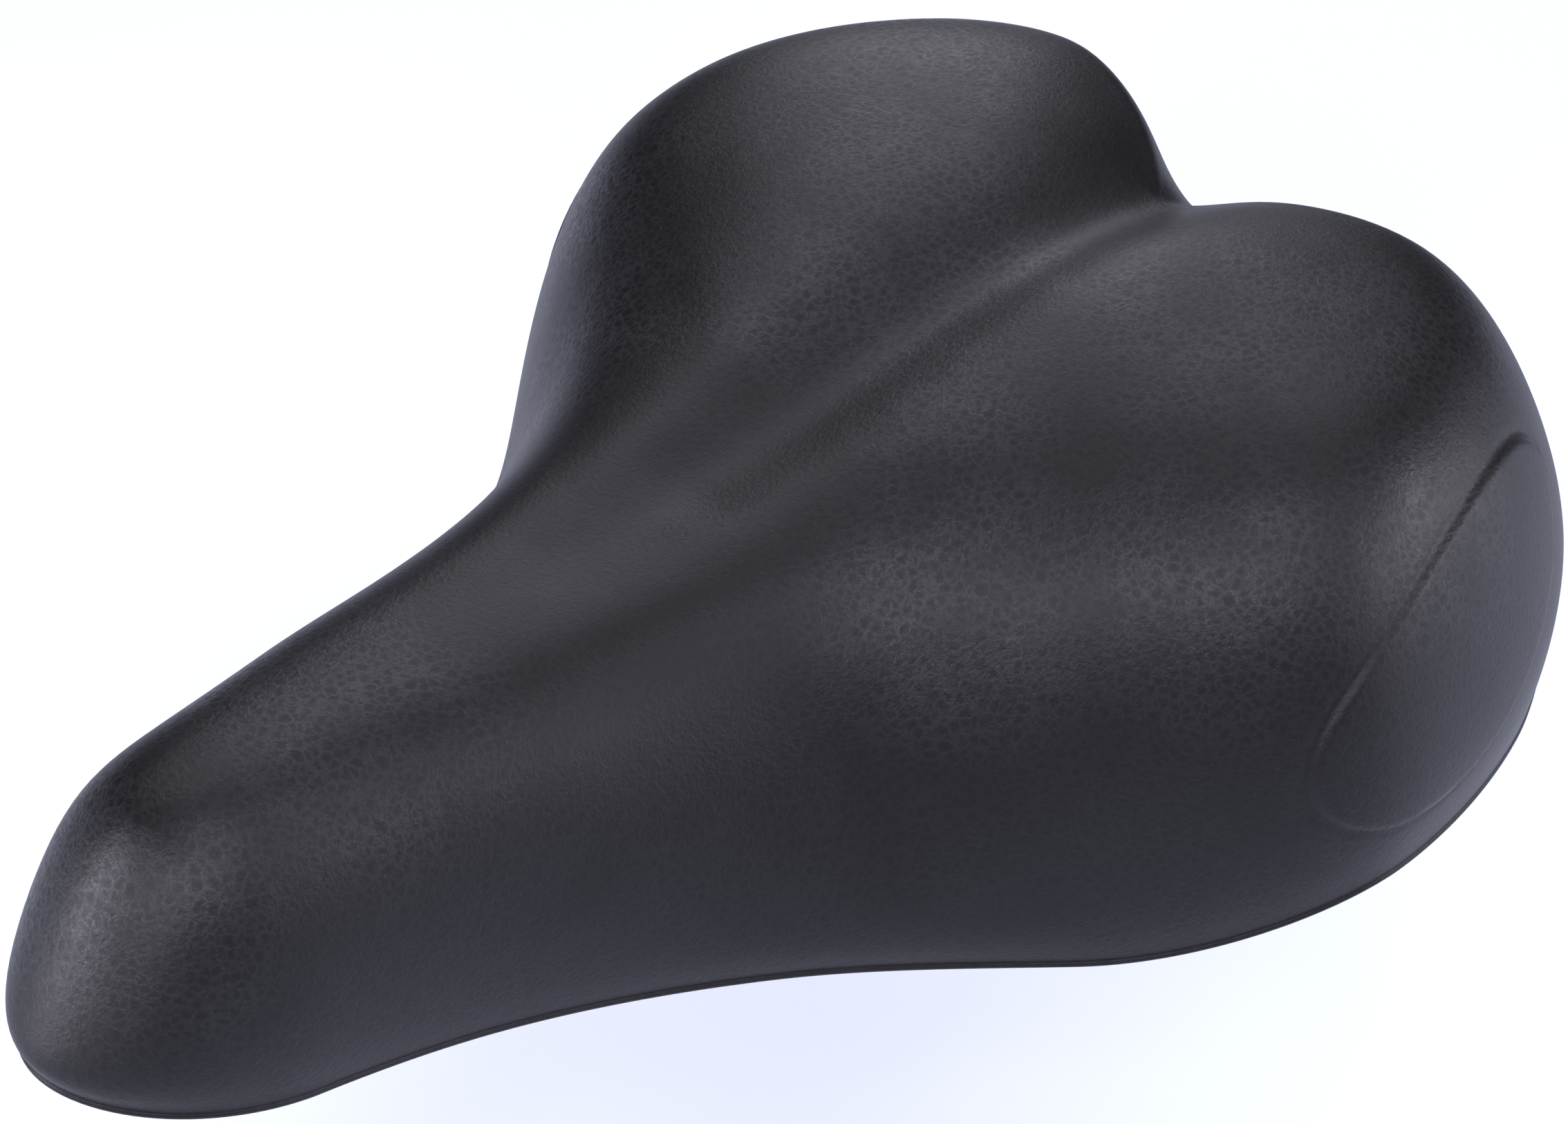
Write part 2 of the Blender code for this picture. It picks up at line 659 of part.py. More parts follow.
def make_rail_cap(side, sign, collection, material, parent):
    """A plastic cap pushed over the rail's end. Its own axis runs along +Y, closed end last."""
    open_end = BRIDGE_STATION + BRIDGE_HALF_WIDTH + 2 * GAP - RAIL_END_STATION
    bore = RAIL_RADIUS + GAP
    profile = [
        (0.0, GAP + CAP_END),
        (CAP_RADIUS - EDGE_ROUND, GAP + CAP_END),
        (CAP_RADIUS, GAP + CAP_END - EDGE_ROUND),
        (CAP_RADIUS, open_end),
        (bore, open_end),
        (bore, GAP),
        (0.0, GAP),
    ]
    centre = rail_corners()[-1]
    centre.x *= sign
    turned(f"rail_cap_{side}", profile, centre, collection, material, parent, axis="Y")


def make_spring(side, sign, collection, materials, rails, shell):
    """One elastomer with its seats, bolt, washer and nut."""
    base = place(sign * ELASTOMER_HALF, BRIDGE_STATION, 0.0)
    waist = ELASTOMER_RADIUS - GROOVE_DEPTH
    middle = (ELASTOMER_LOW + ELASTOMER_HIGH) / 2
    block = [
        (ELASTOMER_RADIUS - EDGE_ROUND, ELASTOMER_HIGH),
        (ELASTOMER_RADIUS, ELASTOMER_HIGH - EDGE_ROUND),
        (ELASTOMER_RADIUS, middle + GROOVE_HALF),
        (waist, middle),
        (ELASTOMER_RADIUS, middle - GROOVE_HALF),
        (ELASTOMER_RADIUS, ELASTOMER_LOW + EDGE_ROUND),
        (ELASTOMER_RADIUS - EDGE_ROUND, ELASTOMER_LOW),
        (BOLT_HOLE_RADIUS, ELASTOMER_LOW),
        (BOLT_HOLE_RADIUS, ELASTOMER_HIGH),
    ]
    turned(f"elastomer_{side}", block, base, collection, materials["elastomer"], rails)
    wall = SEAT_RADIUS - ELASTOMER_RADIUS - 2 * GAP
    floor = GAP + SEAT_THICKNESS
    seat = [
        (SEAT_RADIUS, floor + SEAT_RIM),
        (SEAT_RADIUS, GAP),
        (BOLT_HOLE_RADIUS, GAP),
        (BOLT_HOLE_RADIUS, floor),
        (SEAT_RADIUS - wall, floor),
        (SEAT_RADIUS - wall, floor + SEAT_RIM),
    ]
    turned(f"lower_seat_{side}", seat, base, collection, materials["steel"], rails)
    roof = ELASTOMER_HIGH + GAP
    cup = [
        (SEAT_RADIUS - EDGE_ROUND, roof + SEAT_THICKNESS),
        (SEAT_RADIUS, roof + SEAT_THICKNESS - EDGE_ROUND),
        (SEAT_RADIUS, roof - SEAT_RIM),
        (SEAT_RADIUS - wall, roof - SEAT_RIM),
        (SEAT_RADIUS - wall, roof),
        (BOLT_RADIUS + GAP, roof),
        (BOLT_RADIUS + GAP, roof + SEAT_THICKNESS),
    ]
    turned(f"upper_cup_{side}", cup, base, collection, materials["plastic"], shell)
    washer_high = -BRIDGE_THICKNESS - GAP
    washer_low = washer_high - WASHER_THICKNESS
    washer = ring_profile(BOLT_RADIUS + GAP, WASHER_RADIUS, washer_low, washer_high, FINE_EDGE)
    turned(f"bolt_washer_{side}", washer, base, collection, materials["zinc"], shell)
    make_bolt(side, base, washer_low - GAP, collection, materials["zinc"], shell)
    make_nut(side, base, collection, materials["zinc"], shell)


def hexagon(name, centre, low, high, collection, material, parent):
    bm = bmesh.new()
    bmesh.ops.create_cone(
        bm, cap_ends=True, segments=6, radius1=HEX_RADIUS, radius2=HEX_RADIUS, depth=high - low
    )
    mesh = bpy.data.meshes.new(name)
    bm.to_mesh(mesh)
    bm.free()
    obj = new_object(name, mesh, collection, material, parent)
    obj.location = centre + Vector((0, 0, (low + high) / 2))
    return obj


def make_bolt(side, base, head_top, collection, material, parent):
    """A hexagon bolt, head down, whose shank reaches up into the nut."""
    bolt = hexagon(
        f"bolt_{side}", base, head_top - BOLT_HEAD, head_top, collection, material, parent
    )
    top = NUT_LEVEL + NUT_HEIGHT - GAP
    low = head_top - BOLT_HEAD / 2
    centre = base + Vector((0, 0, (low + top) / 2))
    cutters = bpy.data.collections["saddle_cutters"]
    shank = cylinder(f"shank_{side}", centre, BOLT_RADIUS, top - low, cutters, sides=SMALL_STEPS)
    boolean(bolt, shank, "UNION")


def make_nut(side, base, collection, material, parent):
    top = NUT_LEVEL + NUT_HEIGHT
    nut = hexagon(f"bolt_nut_{side}", base, NUT_LEVEL, top, collection, material, parent)
    cutters = bpy.data.collections["saddle_cutters"]
    centre = base + Vector((0, 0, NUT_LEVEL))
    bore = cylinder(f"nut_bore_{side}", centre, BOLT_RADIUS + GAP, CUT_DEPTH, cutters, sides=SMALL_STEPS)
    boolean(nut, bore, "DIFFERENCE")


def make_bushing(collection, material, parent):
    """The sleeve round the nose bar, with a collar at each end that keeps it in the nose block."""
    end = BUSHING_HALF + COLLAR_WIDTH
    profile = [
        (COLLAR_RADIUS, end),
        (COLLAR_RADIUS, BUSHING_HALF),
        (BUSHING_RADIUS, BUSHING_HALF),
        (BUSHING_RADIUS, -BUSHING_HALF),
        (COLLAR_RADIUS, -BUSHING_HALF),
        (COLLAR_RADIUS, -end),
        (BUSHING_BORE, -end),
        (BUSHING_BORE, end),
    ]
    centre = place(0, NOSE_BAR_STATION, NOSE_BAR_LEVEL)
    turned("nose_bushing", profile, centre, collection, material, parent, axis="X")


def make_clip(collection, cutters, material, parent):
    """The strap under the bushing: two flat tabs and a half-round cradle, as an extruded outline."""
    inner = BUSHING_RADIUS + GAP
    outer = inner + CLIP_THICKNESS
    tab_top = BLOCK_LEVEL - GAP - NOSE_BAR_LEVEL
    tab_low = tab_top - CLIP_THICKNESS
    front, rear = BLOCK_FRONT - NOSE_BAR_STATION, BLOCK_REAR - NOSE_BAR_STATION
    dip = math.asin(-tab_top / inner), math.asin(-tab_low / outer)
    turns = np.linspace(0, 1, CRADLE_POINTS)
    cradle = [
        (-inner * math.cos(a), -inner * math.sin(a)) for a in dip[0] + turns * (math.pi - 2 * dip[0])
    ]
    under = [
        (outer * math.cos(a), -outer * math.sin(a)) for a in dip[1] + turns * (math.pi - 2 * dip[1])
    ]
    outline = [(front, tab_top), *cradle, (rear, tab_top), (rear, tab_low), *under, (front, tab_low)]
    bm = bmesh.new()
    half = BLOCK_HALF - GAP
    face = bm.faces.new([bm.verts.new((-half, y, z)) for y, z in outline])
    swept = bmesh.ops.extrude_face_region(bm, geom=[face])["geom"]
    moved = [item for item in swept if isinstance(item, bmesh.types.BMVert)]
    bmesh.ops.translate(bm, verts=moved, vec=(2 * half, 0, 0))
    bmesh.ops.recalc_face_normals(bm, faces=bm.faces)
    mesh = bpy.data.meshes.new("nose_clip")
    bm.to_mesh(mesh)
    bm.free()
    clip = new_object("nose_clip", mesh, collection, material, parent)
    clip.location = place(0, NOSE_BAR_STATION, NOSE_BAR_LEVEL)
    for name, station in SCREW_STATIONS.items():
        centre = place(0, station, BLOCK_LEVEL)
        hole = cylinder(
            f"clip_hole_{name}", centre, SCREW_RADIUS + GAP, CUT_DEPTH, cutters, sides=SMALL_STEPS
        )
        boolean(clip, hole, "DIFFERENCE")


def make_nose_screw(name, station, collection, material, parent):
    """A pan-head screw, up through the strap into the nose block."""
    head_top = -CLIP_THICKNESS - 2 * GAP
    end = head_top + SCREW_LENGTH - 2 * GAP
    profile = [
        (0.0, end),
        (SCREW_RADIUS - SCREW_POINT, end),
        (SCREW_RADIUS, end - SCREW_TAPER),
        (SCREW_RADIUS, head_top),
        (SCREW_HEAD_RADIUS, head_top),
        (SCREW_HEAD_RADIUS, head_top - SCREW_HEAD / 2),
        (SCREW_HEAD_RADIUS * SCREW_HEAD_TOP_SHARE, head_top - SCREW_HEAD),
        (0.0, head_top - SCREW_HEAD),
    ]
    centre = place(0, station, BLOCK_LEVEL)
    turned(f"nose_screw_{name}", profile, centre, collection, material, parent, steps=SMALL_STEPS)


def surface(name, colour, roughness, metallic=0.0):
    material = bpy.data.materials.new(name)
    material.use_nodes = True
    shader = material.node_tree.nodes["Principled BSDF"]
    shader.inputs["Base Color"].default_value = (*colour, 1.0)
    shader.inputs["Roughness"].default_value = roughness
    shader.inputs["Metallic"].default_value = metallic
    material.diffuse_color = (*colour, 1.0)
    return material


def make_materials():
    return {
        "leather": surface("black_leather", (0.030, 0.030, 0.034), 0.55),
        "foam": surface("cream_foam", (0.55, 0.50, 0.36), 0.9),
        "plastic": surface("black_plastic", (0.018, 0.018, 0.020), 0.45),
        "steel": surface("black_painted_steel", (0.022, 0.022, 0.024), 0.35, 0.0),
        "zinc": surface("zinc_plated_steel", (0.55, 0.56, 0.58), 0.35, 1.0),
        "nylon": surface("grey_nylon", (0.16, 0.16, 0.17), 0.5),
        "elastomer": surface("grey_elastomer", (0.05, 0.05, 0.055), 0.6),
    }


def empty(name, location, collection):
    obj = bpy.data.objects.new(name, None)
    obj.location = location
    collection.objects.link(obj)
    return obj


def main():
    for obj in list(bpy.data.objects):
        bpy.data.objects.remove(obj, do_unlink=True)
    saddle = bpy.data.collections.new("bicycle_saddle")
    cutters = bpy.data.collections.new("saddle_cutters")
    for collection in (saddle, cutters):
        bpy.context.scene.collection.children.link(collection)
    materials = make_materials()
    rails = empty("rails_frame", Vector((0, 0, 0)), saddle)
    shell = empty("suspension_pivot", place(0, NOSE_BAR_STATION, NOSE_BAR_LEVEL), saddle)

    make_cover(saddle, materials["leather"], shell)
    make_foam(saddle, materials["foam"], shell)
    make_pan(saddle, cutters, materials["plastic"], shell)
    make_rail(saddle, materials["steel"], rails)
    make_bridge(saddle, cutters, materials["steel"], rails)
    for side, sign in SIDES.items():
        make_rail_cap(side, sign, saddle, materials["plastic"], rails)
        make_spring(side, sign, saddle, materials, rails, shell)
    make_bushing(saddle, materials["nylon"], shell)
    make_clip(saddle, cutters, materials["zinc"], shell)
    for name, station in SCREW_STATIONS.items():
        make_nose_screw(name, station, saddle, materials["zinc"], shell)


main()
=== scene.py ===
"""Comfort bicycle saddle: the looks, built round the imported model. Metres, +Z up, the nose points to -Y.

A station is a distance back from the nose tip. A level is a height above the cover's lower edge.
"""

import math

import bmesh
import bpy
import numpy as np
from mathutils import Matrix, Vector, kdtree


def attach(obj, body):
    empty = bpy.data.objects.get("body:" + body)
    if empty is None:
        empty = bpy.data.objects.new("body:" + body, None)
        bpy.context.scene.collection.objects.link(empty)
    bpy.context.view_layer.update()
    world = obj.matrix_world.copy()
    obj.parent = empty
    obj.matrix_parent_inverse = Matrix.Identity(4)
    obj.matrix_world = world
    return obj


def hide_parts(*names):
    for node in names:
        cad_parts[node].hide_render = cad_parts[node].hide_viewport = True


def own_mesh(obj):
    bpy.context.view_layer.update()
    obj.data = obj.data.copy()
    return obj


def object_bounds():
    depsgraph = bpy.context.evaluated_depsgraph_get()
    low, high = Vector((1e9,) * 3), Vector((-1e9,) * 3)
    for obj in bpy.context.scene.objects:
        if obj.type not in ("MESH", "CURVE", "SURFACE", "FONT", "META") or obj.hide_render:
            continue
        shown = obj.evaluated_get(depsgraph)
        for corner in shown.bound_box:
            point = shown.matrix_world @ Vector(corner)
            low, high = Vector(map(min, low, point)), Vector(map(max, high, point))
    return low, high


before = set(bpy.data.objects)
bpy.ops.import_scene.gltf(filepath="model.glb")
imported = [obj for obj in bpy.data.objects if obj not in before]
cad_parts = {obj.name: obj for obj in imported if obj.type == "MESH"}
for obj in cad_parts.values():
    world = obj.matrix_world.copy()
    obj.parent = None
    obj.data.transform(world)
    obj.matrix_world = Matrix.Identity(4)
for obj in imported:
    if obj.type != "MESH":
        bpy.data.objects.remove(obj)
CAD_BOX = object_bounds()

# The frame's place on the pad, and the pad's plan as half widths at stations
CLAMP_STATION = 0.158
RAIL_LEVEL = -0.016
LENGTH = 0.270
NOSE_LENGTH = 0.0375
NOSE_HALF = 0.0275
NOSE_SLOPE = 0.03
WIDEST_STATION = 0.198
WIDEST_HALF = 0.0985
SIDE_STATIONS = (NOSE_LENGTH, 0.065, 0.112, 0.147, WIDEST_STATION)
SIDE_HALVES = (NOSE_HALF, 0.030, 0.045, 0.066, WIDEST_HALF)
LOBE_HALF = 0.060
NOTCH_DEPTH = 0.0095
NOSE_SQUARENESS = 1.95
TAIL_SQUARENESS = 1.72
OUTLINE_STEPS = 160

# Levels of the lower edge and of the crown along the middle
EDGE_STATIONS = (0.0, 0.112, 0.153, WIDEST_STATION, 0.239, LENGTH)
EDGE_LEVELS = (0.017, -0.002, -0.007, 0.0045, 0.0045, 0.020)
CROWN_STATIONS = (0.0, 0.030, 0.076, 0.132, 0.214, LENGTH)
CROWN_LEVELS = (0.033, 0.059, 0.060, 0.0645, 0.077, 0.075)

# What is taken off the crown: towards the sides, and in the valley between the lobes
FALL_STATIONS = (0.0, 0.061, 0.132, 0.219, LENGTH)
SIDE_FALLS = (0.0, -0.0145, 0.032, 0.0065, 0.0245)
VALLEY_DEPTHS = (0.0, -0.002, 0.002, 0.003, 0.0145)
VALLEY_HALF = 0.017
VALLEY_OPENING = 1.25
FLAT_SHARE = 0.17

# The rounded shoulder between the lower edge and the crown
SHOULDER_STATIONS = (0.0, 0.041, 0.132, 0.219, LENGTH)
SHOULDER_RADII = (0.0235, 0.0235, 0.032, 0.0315, 0.030)
SQUARENESS_STATIONS = (0.030, 0.130, 0.230)
SHOULDER_SQUARENESS = (1.9, 2.33, 2.3)
EDGE_TUCK = 0.003
EDGE_TUCK_SHARE = 0.35
MOST_SHOULDER_SHARE = 0.75
LARGEST_RADIUS_SHARE = 0.98
FRONT_POLE = 0.024
REAR_POLE = 0.022
OPENING_STATION = 0.229
TAIL_REACH = 0.025
LEAST_HALF = 0.012
LEAST_TAIL_SHARE = 0.05
OUTERMOST_SHARE = 1.5

# The cover: its channel, the raised panel on each flank, its hem and its fineness
COVER_THICKNESS = 0.0011
GROOVE_STATIONS = (0.0, 0.070, 0.120, 0.200, LENGTH)
GROOVE_DEPTHS = (0.0, 0.0, 0.0016, 0.0044, 0.0046)
GROOVE_HALF = 0.0105
PANEL_ARC = 0.2515
PANEL_LEVEL = 0.038
PANEL_HALF_LENGTH = 0.0385
PANEL_HALF_HEIGHT = 0.020
PANEL_TILT = 0.30
PANEL_SQUARENESS = 1.85
PANEL_EDGE = 0.0010
PANEL_RAISE = 0.0007
PANEL_SEAM = 0.0002
SEAM_SHARPNESS = 3
HEM_STATIONS = (0.0, 0.065, 0.120, LENGTH)
HEM_WIDTHS = (0.0045, 0.0045, 0.010, 0.010)
HEM_ROLL = 0.0007
HEM_PROUD = 0.0002
HEM_LIFT = 0.0015
HEM_REACH = 0.006
PLEAT_HEIGHT = 0.0004
PLEAT_PITCH = 0.008
PLEAT_SHARPNESS = 8
HEM_ROWS = 7
HEM_LEAST_SHARE = 0.15
ROLL_ROWS = 10
ROLL_END = -1.0
COLUMNS = 281
ROWS = 84
FINE_COLUMNS = 331
FINE_COVER_ROWS = 113
FINE_RATIO = 3.0
FINE_STEPS = 2000
FINE_SOFTNESS = 0.125
PANEL_COLUMN_SHARES = (0.54, 0.84)
PANEL_ROW_SHARES = (0.0, 0.50)
FINE_ROWS = 60
FAIRING_ROUNDS = 40
FAIRING_SHARE = 0.5

# Its swelling in the cloth simulation
VOXEL = 0.0045
PRESSURE = 4.0
CLOTH_FRAMES = 20
MOST_SWELL = 0.0009
HELD_HEIGHT = 0.012
NEIGHBOURS = 24

# The layers below it
GAP = 0.0003
FOAM_INSET = 0.0019
FOAM_CLEARANCE = 0.0006
FOAM_FIRST_ROW = ROWS // 12
FOAM_FIRST_PAN_ROW = 3
PAN_THICKNESS = 0.0028
PAN_INSET = EDGE_TUCK + FOAM_INSET
PAN_LIFT = 0.002
PAN_STATIONS = (0.0, 0.025, 0.060, 0.130, 0.210, 0.250, LENGTH)
PAN_LEVELS = (0.022, 0.025, 0.030, 0.028, 0.044, 0.042, 0.036)
PAN_SHOULDERS = (0.012, 0.012, 0.014, 0.018, 0.026, 0.026, 0.024)
PAN_SQUARENESS = 2.08
PAN_COLUMNS = 141
PAN_ROWS = 40

# Under the pan: ribs as (station, half length across, level of the lower edge), bosses and the nose block
CROSS_RIBS = ((0.085, 0.030, 0.021), (0.110, 0.040, 0.020), (0.196, 0.075, 0.030))
LONG_RIB_HALF = 0.062
LONG_RIB_STATIONS = (0.165, 0.250)
LONG_RIB_LEVEL = 0.026
RIB_HALF_THICKNESS = 0.00125
ABOVE_PAN = 0.090
BELOW_PAN = -0.020
CUT_DEPTH = 0.030
RIB_ROUND = 0.0005
BOSS_RADIUS = 0.010
BLOCK_HALF = 0.006
BLOCK_FRONT = 0.020
BLOCK_REAR = 0.058
BLOCK_LEVEL = 0.009
SCREW_STATIONS = {"front": 0.026, "rear": 0.051}
SCREW_LENGTH = 0.012
SCREW_RADIUS = 0.002
SCREW_HEAD_RADIUS = 0.004
SCREW_HEAD = 0.0024
SCREW_POINT = 0.0006
SCREW_TAPER = 0.0015
SCREW_HEAD_TURNS = (0, 20, 40, 60, 75)
HEAD_FLAT_SHARE = 0.35
FINE_EDGE = 0.00012

# Rail and bridge
RAIL_RADIUS = 0.0035
RAIL_SPACING = 0.044
NOSE_BAR_STATION = 0.038
NOSE_BAR_LEVEL = 0.011
NOSE_BAR_HALF = 0.016
NOSE_BEND = 0.008
CLAMP_BEND = 0.030
REAR_BEND = 0.020
RAIL_END_HALF = 0.032
RAIL_END_STATION = 0.244
LEG_HALF = 0.0205
LEG_STATION = 0.095
LEG_LEVEL = -0.005
LEG_BEND = 0.060
CLAMP_CORNERS = (0.121, 0.200)
SPREAD_CORNER = 0.219
BRIDGE_STATION = 0.225
BRIDGE_HALF_LENGTH = 0.060
BRIDGE_HALF_WIDTH = 0.012
BRIDGE_THICKNESS = 0.003
BRIDGE_CORNER = 0.008
RAIL_END_LEVEL = -BRIDGE_THICKNESS - GAP - RAIL_RADIUS
CORNER_SEGMENTS = 12
PLATE_EDGE = 0.0005
WELD_RADIUS = 0.0013
WELD_OFFSET = 0.0031
WELD_RIPPLE = 0.18
WELD_STEPS = 121
WELD_WAVES = 9
WELD_BLUNTNESS = 8
WELD_LEAST = 0.05
BEND_STEP = math.radians(3)
WIRE_RESOLUTION = 12
WIRE_SHARP_ANGLE = math.radians(60)

# Suspension and fasteners
ELASTOMER_HALF = 0.046
ELASTOMER_RADIUS = 0.013
ELASTOMER_LOW = 0.0021
ELASTOMER_HIGH = 0.0200
WAIST_DEPTH = 0.002
WAIST_HALF = 0.0045
RUBBER_EDGE = 0.0009
SEAT_RADIUS = 0.015
SEAT_THICKNESS = 0.0015
SEAT_RIM = 0.0018
BOSS_LEVEL = ELASTOMER_HIGH + 2 * GAP + SEAT_THICKNESS
BOLT_RADIUS = 0.003
BOLT_HOLE_RADIUS = 0.0045
NUT_LEVEL = 0.033
NUT_HEIGHT = 0.005
BOLT_HEAD = 0.004
WASHER_RADIUS = 0.007
WASHER_THICKNESS = 0.0015
HEX_RADIUS = 0.00577
HEX_CHAMFER = 0.0007
BUSHING_RADIUS = 0.0055
BUSHING_HALF = 0.0063
COLLAR_RADIUS = 0.007
COLLAR_WIDTH = 0.0012
CAP_RADIUS = 0.0048
CAP_END = 0.0016
CAP_EDGE = 0.0009
CLIP_THICKNESS = 0.002
RECESS_HALF = 0.0019
RECESS_WIDTH = 0.0009
STAPLE_SPACING = 0.014
STAPLE_SIZE = (0.0080, 0.0008, 0.0007)
STAPLE_SHARE = 0.6
STAPLE_EDGE = 0.0002
ROUND_STEPS = 72
CRADLE_POINTS = 33
WAIST_STEPS = 13
SOFT_EDGE = 0.0003
SOFT_SEGMENTS = 2
ROUND_SEGMENTS = 4
SHARP_ANGLE = math.radians(32)
SHORT = 1e-5

SIDES = {"left": 1, "right": -1}

# Materials. Sizes are in metres, and scales in cells per metre. A noise runs from its low to its high.
NOISE_LOW = 0.3
NOISE_HIGH = 0.7
LEATHER = (0.0030, 0.0030, 0.0035)
# Lighter colour of the grain lines: faint grain everywhere, and a painted highlight at the highlight spots
GRAIN_AND_HIGHLIGHT_LINES = (0.0170, 0.0170, 0.0185)
LEATHER_SHEEN = (1.0, 0.97, 1.0)
LEATHER_ROUGHNESS = 0.45
LEATHER_SPECULAR = 0.225
GRAIN_SCALE = 560
GRAIN_LINE = 0.15
MESH_LINE = 0.42
MESH_SHARE = 0.45
LINE_SCALE = 500
LINE_GLOSS = 0.13
GRAIN_HEIGHT = 0.000015
GRAIN_WANDER_SCALE = 900
GRAIN_WANDER = 0.0012
FRAY_SCALE = 2100
FRAY = 0.0014

# Where the grain lines are painted lighter as a painted highlight, also mirrored: x, station, level and
# how far it reaches
HIGHLIGHT_SPOTS = (
    (0.008, 0.016, 0.048, 0.034),
    (0.010, 0.060, 0.061, 0.036),
    (0.044, 0.150, 0.056, 0.036),
    (0.070, 0.180, 0.058, 0.034),
    (0.084, 0.215, 0.058, 0.030),
    (0.034, 0.212, 0.076, 0.042),
    (0.0, 0.200, 0.073, 0.026),
    (0.018, 0.175, 0.066, 0.030),
    (0.052, 0.236, 0.074, 0.036),
)
LEAST_NET = 0.22
PATCH_SCALE = 60
PATCH_HIGH = 0.6
LEAST_PATCH = 0.45
PATCH_DULLNESS = 0.04
CREASE_SCALE = 1300
CREASE_HEIGHT = 0.00009
FINE_GRAIN_SCALE = 2600
FINE_GRAIN_HEIGHT = 0.000015
SWELL_SCALE = 90
SWELL_HEIGHT = 0.0001

# Camera, floor and lights. A light is its azimuth, its elevation and its power
AZIMUTH = 47.2
ELEVATION = 38.8
ROLL = 0.4
DISTANCE = 0.984
LENS = 137.8
TARGET_PLACE = (-0.0092, 0.1627, 0.0254)
FLOOR_DROP = 0.10
FLOOR_HALF = 4.0
FLOOR_COLOUR = (0.72, 0.76, 0.86)
LIGHT_AIM = 0.04
LIGHT_DISTANCE = 1.1
LIGHT_SIZE = 0.40
LEAST_LIGHT_HEIGHT = 0.21
LIGHT_TINT = (0.90, 0.89, 1.0)
LIGHTS = (
    (330, 6, 7.4),
    (345, 22, 4.5),
    (15, 22, 4.0),
    (30, 38, 3.8),
    (60, 38, 4.1),
    (60, 70, 4.5),
    (105, 22, 2.7),
    (135, 22, 4.8),
    (120, 6, 1.8),
    (150, 6, 2.7),
    (112, 54, 2.0),
    (262, 66, 1.0),
    (202, 54, 2.4),
    (247, 54, 1.8),
    (225, 22, 2.2),
    (240, 38, 0.8),
)


# ---------------------------------------------------------------- shape of the pad

def place(x, station, level):
    return Vector((x, station - CLAMP_STATION, level - RAIL_LEVEL))


def cubic_through(knots, values, slopes):
    """The piecewise cubic with these values and slopes at the knots."""

    def at(where):
        where = np.clip(where, knots[0], knots[-1])
        i = np.clip(np.searchsorted(knots, where) - 1, 0, len(knots) - 2)
        span = knots[i + 1] - knots[i]
        t = (where - knots[i]) / span
        low = values[i] * (1 + 2 * t) * (1 - t) ** 2 + slopes[i] * span * t * (1 - t) ** 2
        high = values[i + 1] * t**2 * (3 - 2 * t) - slopes[i + 1] * span * t**2 * (1 - t)
        return low + high

    return at


def end_slope(span, next_span, chord, next_chord):
    slope = ((2 * span + next_span) * chord - span * next_chord) / (span + next_span)
    if slope * chord <= 0:
        return 0.0
    return slope if abs(slope) < 3 * abs(chord) else 3 * chord


def steady_curve(knots, values):
    """A smooth curve through the values at the knots that never swings past them."""
    knots, values = np.array(knots), np.array(values)
    spans = np.diff(knots)
    chords = np.diff(values) / spans
    slopes = np.zeros(len(knots))
    for i in range(1, len(knots) - 1):
        if chords[i - 1] * chords[i] > 0:
            first = 2 * spans[i] + spans[i - 1]
            second = spans[i] + 2 * spans[i - 1]
            slopes[i] = (first + second) / (first / chords[i - 1] + second / chords[i])
    slopes[0] = end_slope(spans[0], spans[1], chords[0], chords[1])
    slopes[-1] = end_slope(spans[-1], spans[-2], chords[-1], chords[-2])
    return cubic_through(knots, values, slopes)


def flowing_curve(knots, values, first_slope, last_slope):
    """The spline through the values at the knots with the given slopes at its ends."""
    knots, values = np.array(knots), np.array(values)
    spans = np.diff(knots)
    chords = np.diff(values) / spans
    count = len(knots)
    system = np.eye(count)
    goal = np.zeros(count)
    goal[0], goal[-1] = first_slope, last_slope
    for i in range(1, count - 1):
        system[i, i - 1 : i + 2] = (spans[i], 2 * (spans[i - 1] + spans[i]), spans[i - 1])
        goal[i] = 3 * (spans[i] * chords[i - 1] + spans[i - 1] * chords[i])
    return cubic_through(knots, values, np.linalg.solve(system, goal))


side_half = flowing_curve(SIDE_STATIONS, SIDE_HALVES, NOSE_SLOPE, 0.0)
edge_level = steady_curve(EDGE_STATIONS, EDGE_LEVELS)
crown_level = steady_curve(CROWN_STATIONS, CROWN_LEVELS)
side_fall = steady_curve(FALL_STATIONS, SIDE_FALLS)
valley_depth = steady_curve(FALL_STATIONS, VALLEY_DEPTHS)
shoulder_radius = steady_curve(SHOULDER_STATIONS, SHOULDER_RADII)
shoulder_squareness = steady_curve(SQUARENESS_STATIONS, SHOULDER_SQUARENESS)
hem_width = steady_curve(HEM_STATIONS, HEM_WIDTHS)
groove_depth = steady_curve(GROOVE_STATIONS, GROOVE_DEPTHS)
pan_level = steady_curve(PAN_STATIONS, PAN_LEVELS)
pan_shoulder = steady_curve(PAN_STATIONS, PAN_SHOULDERS)


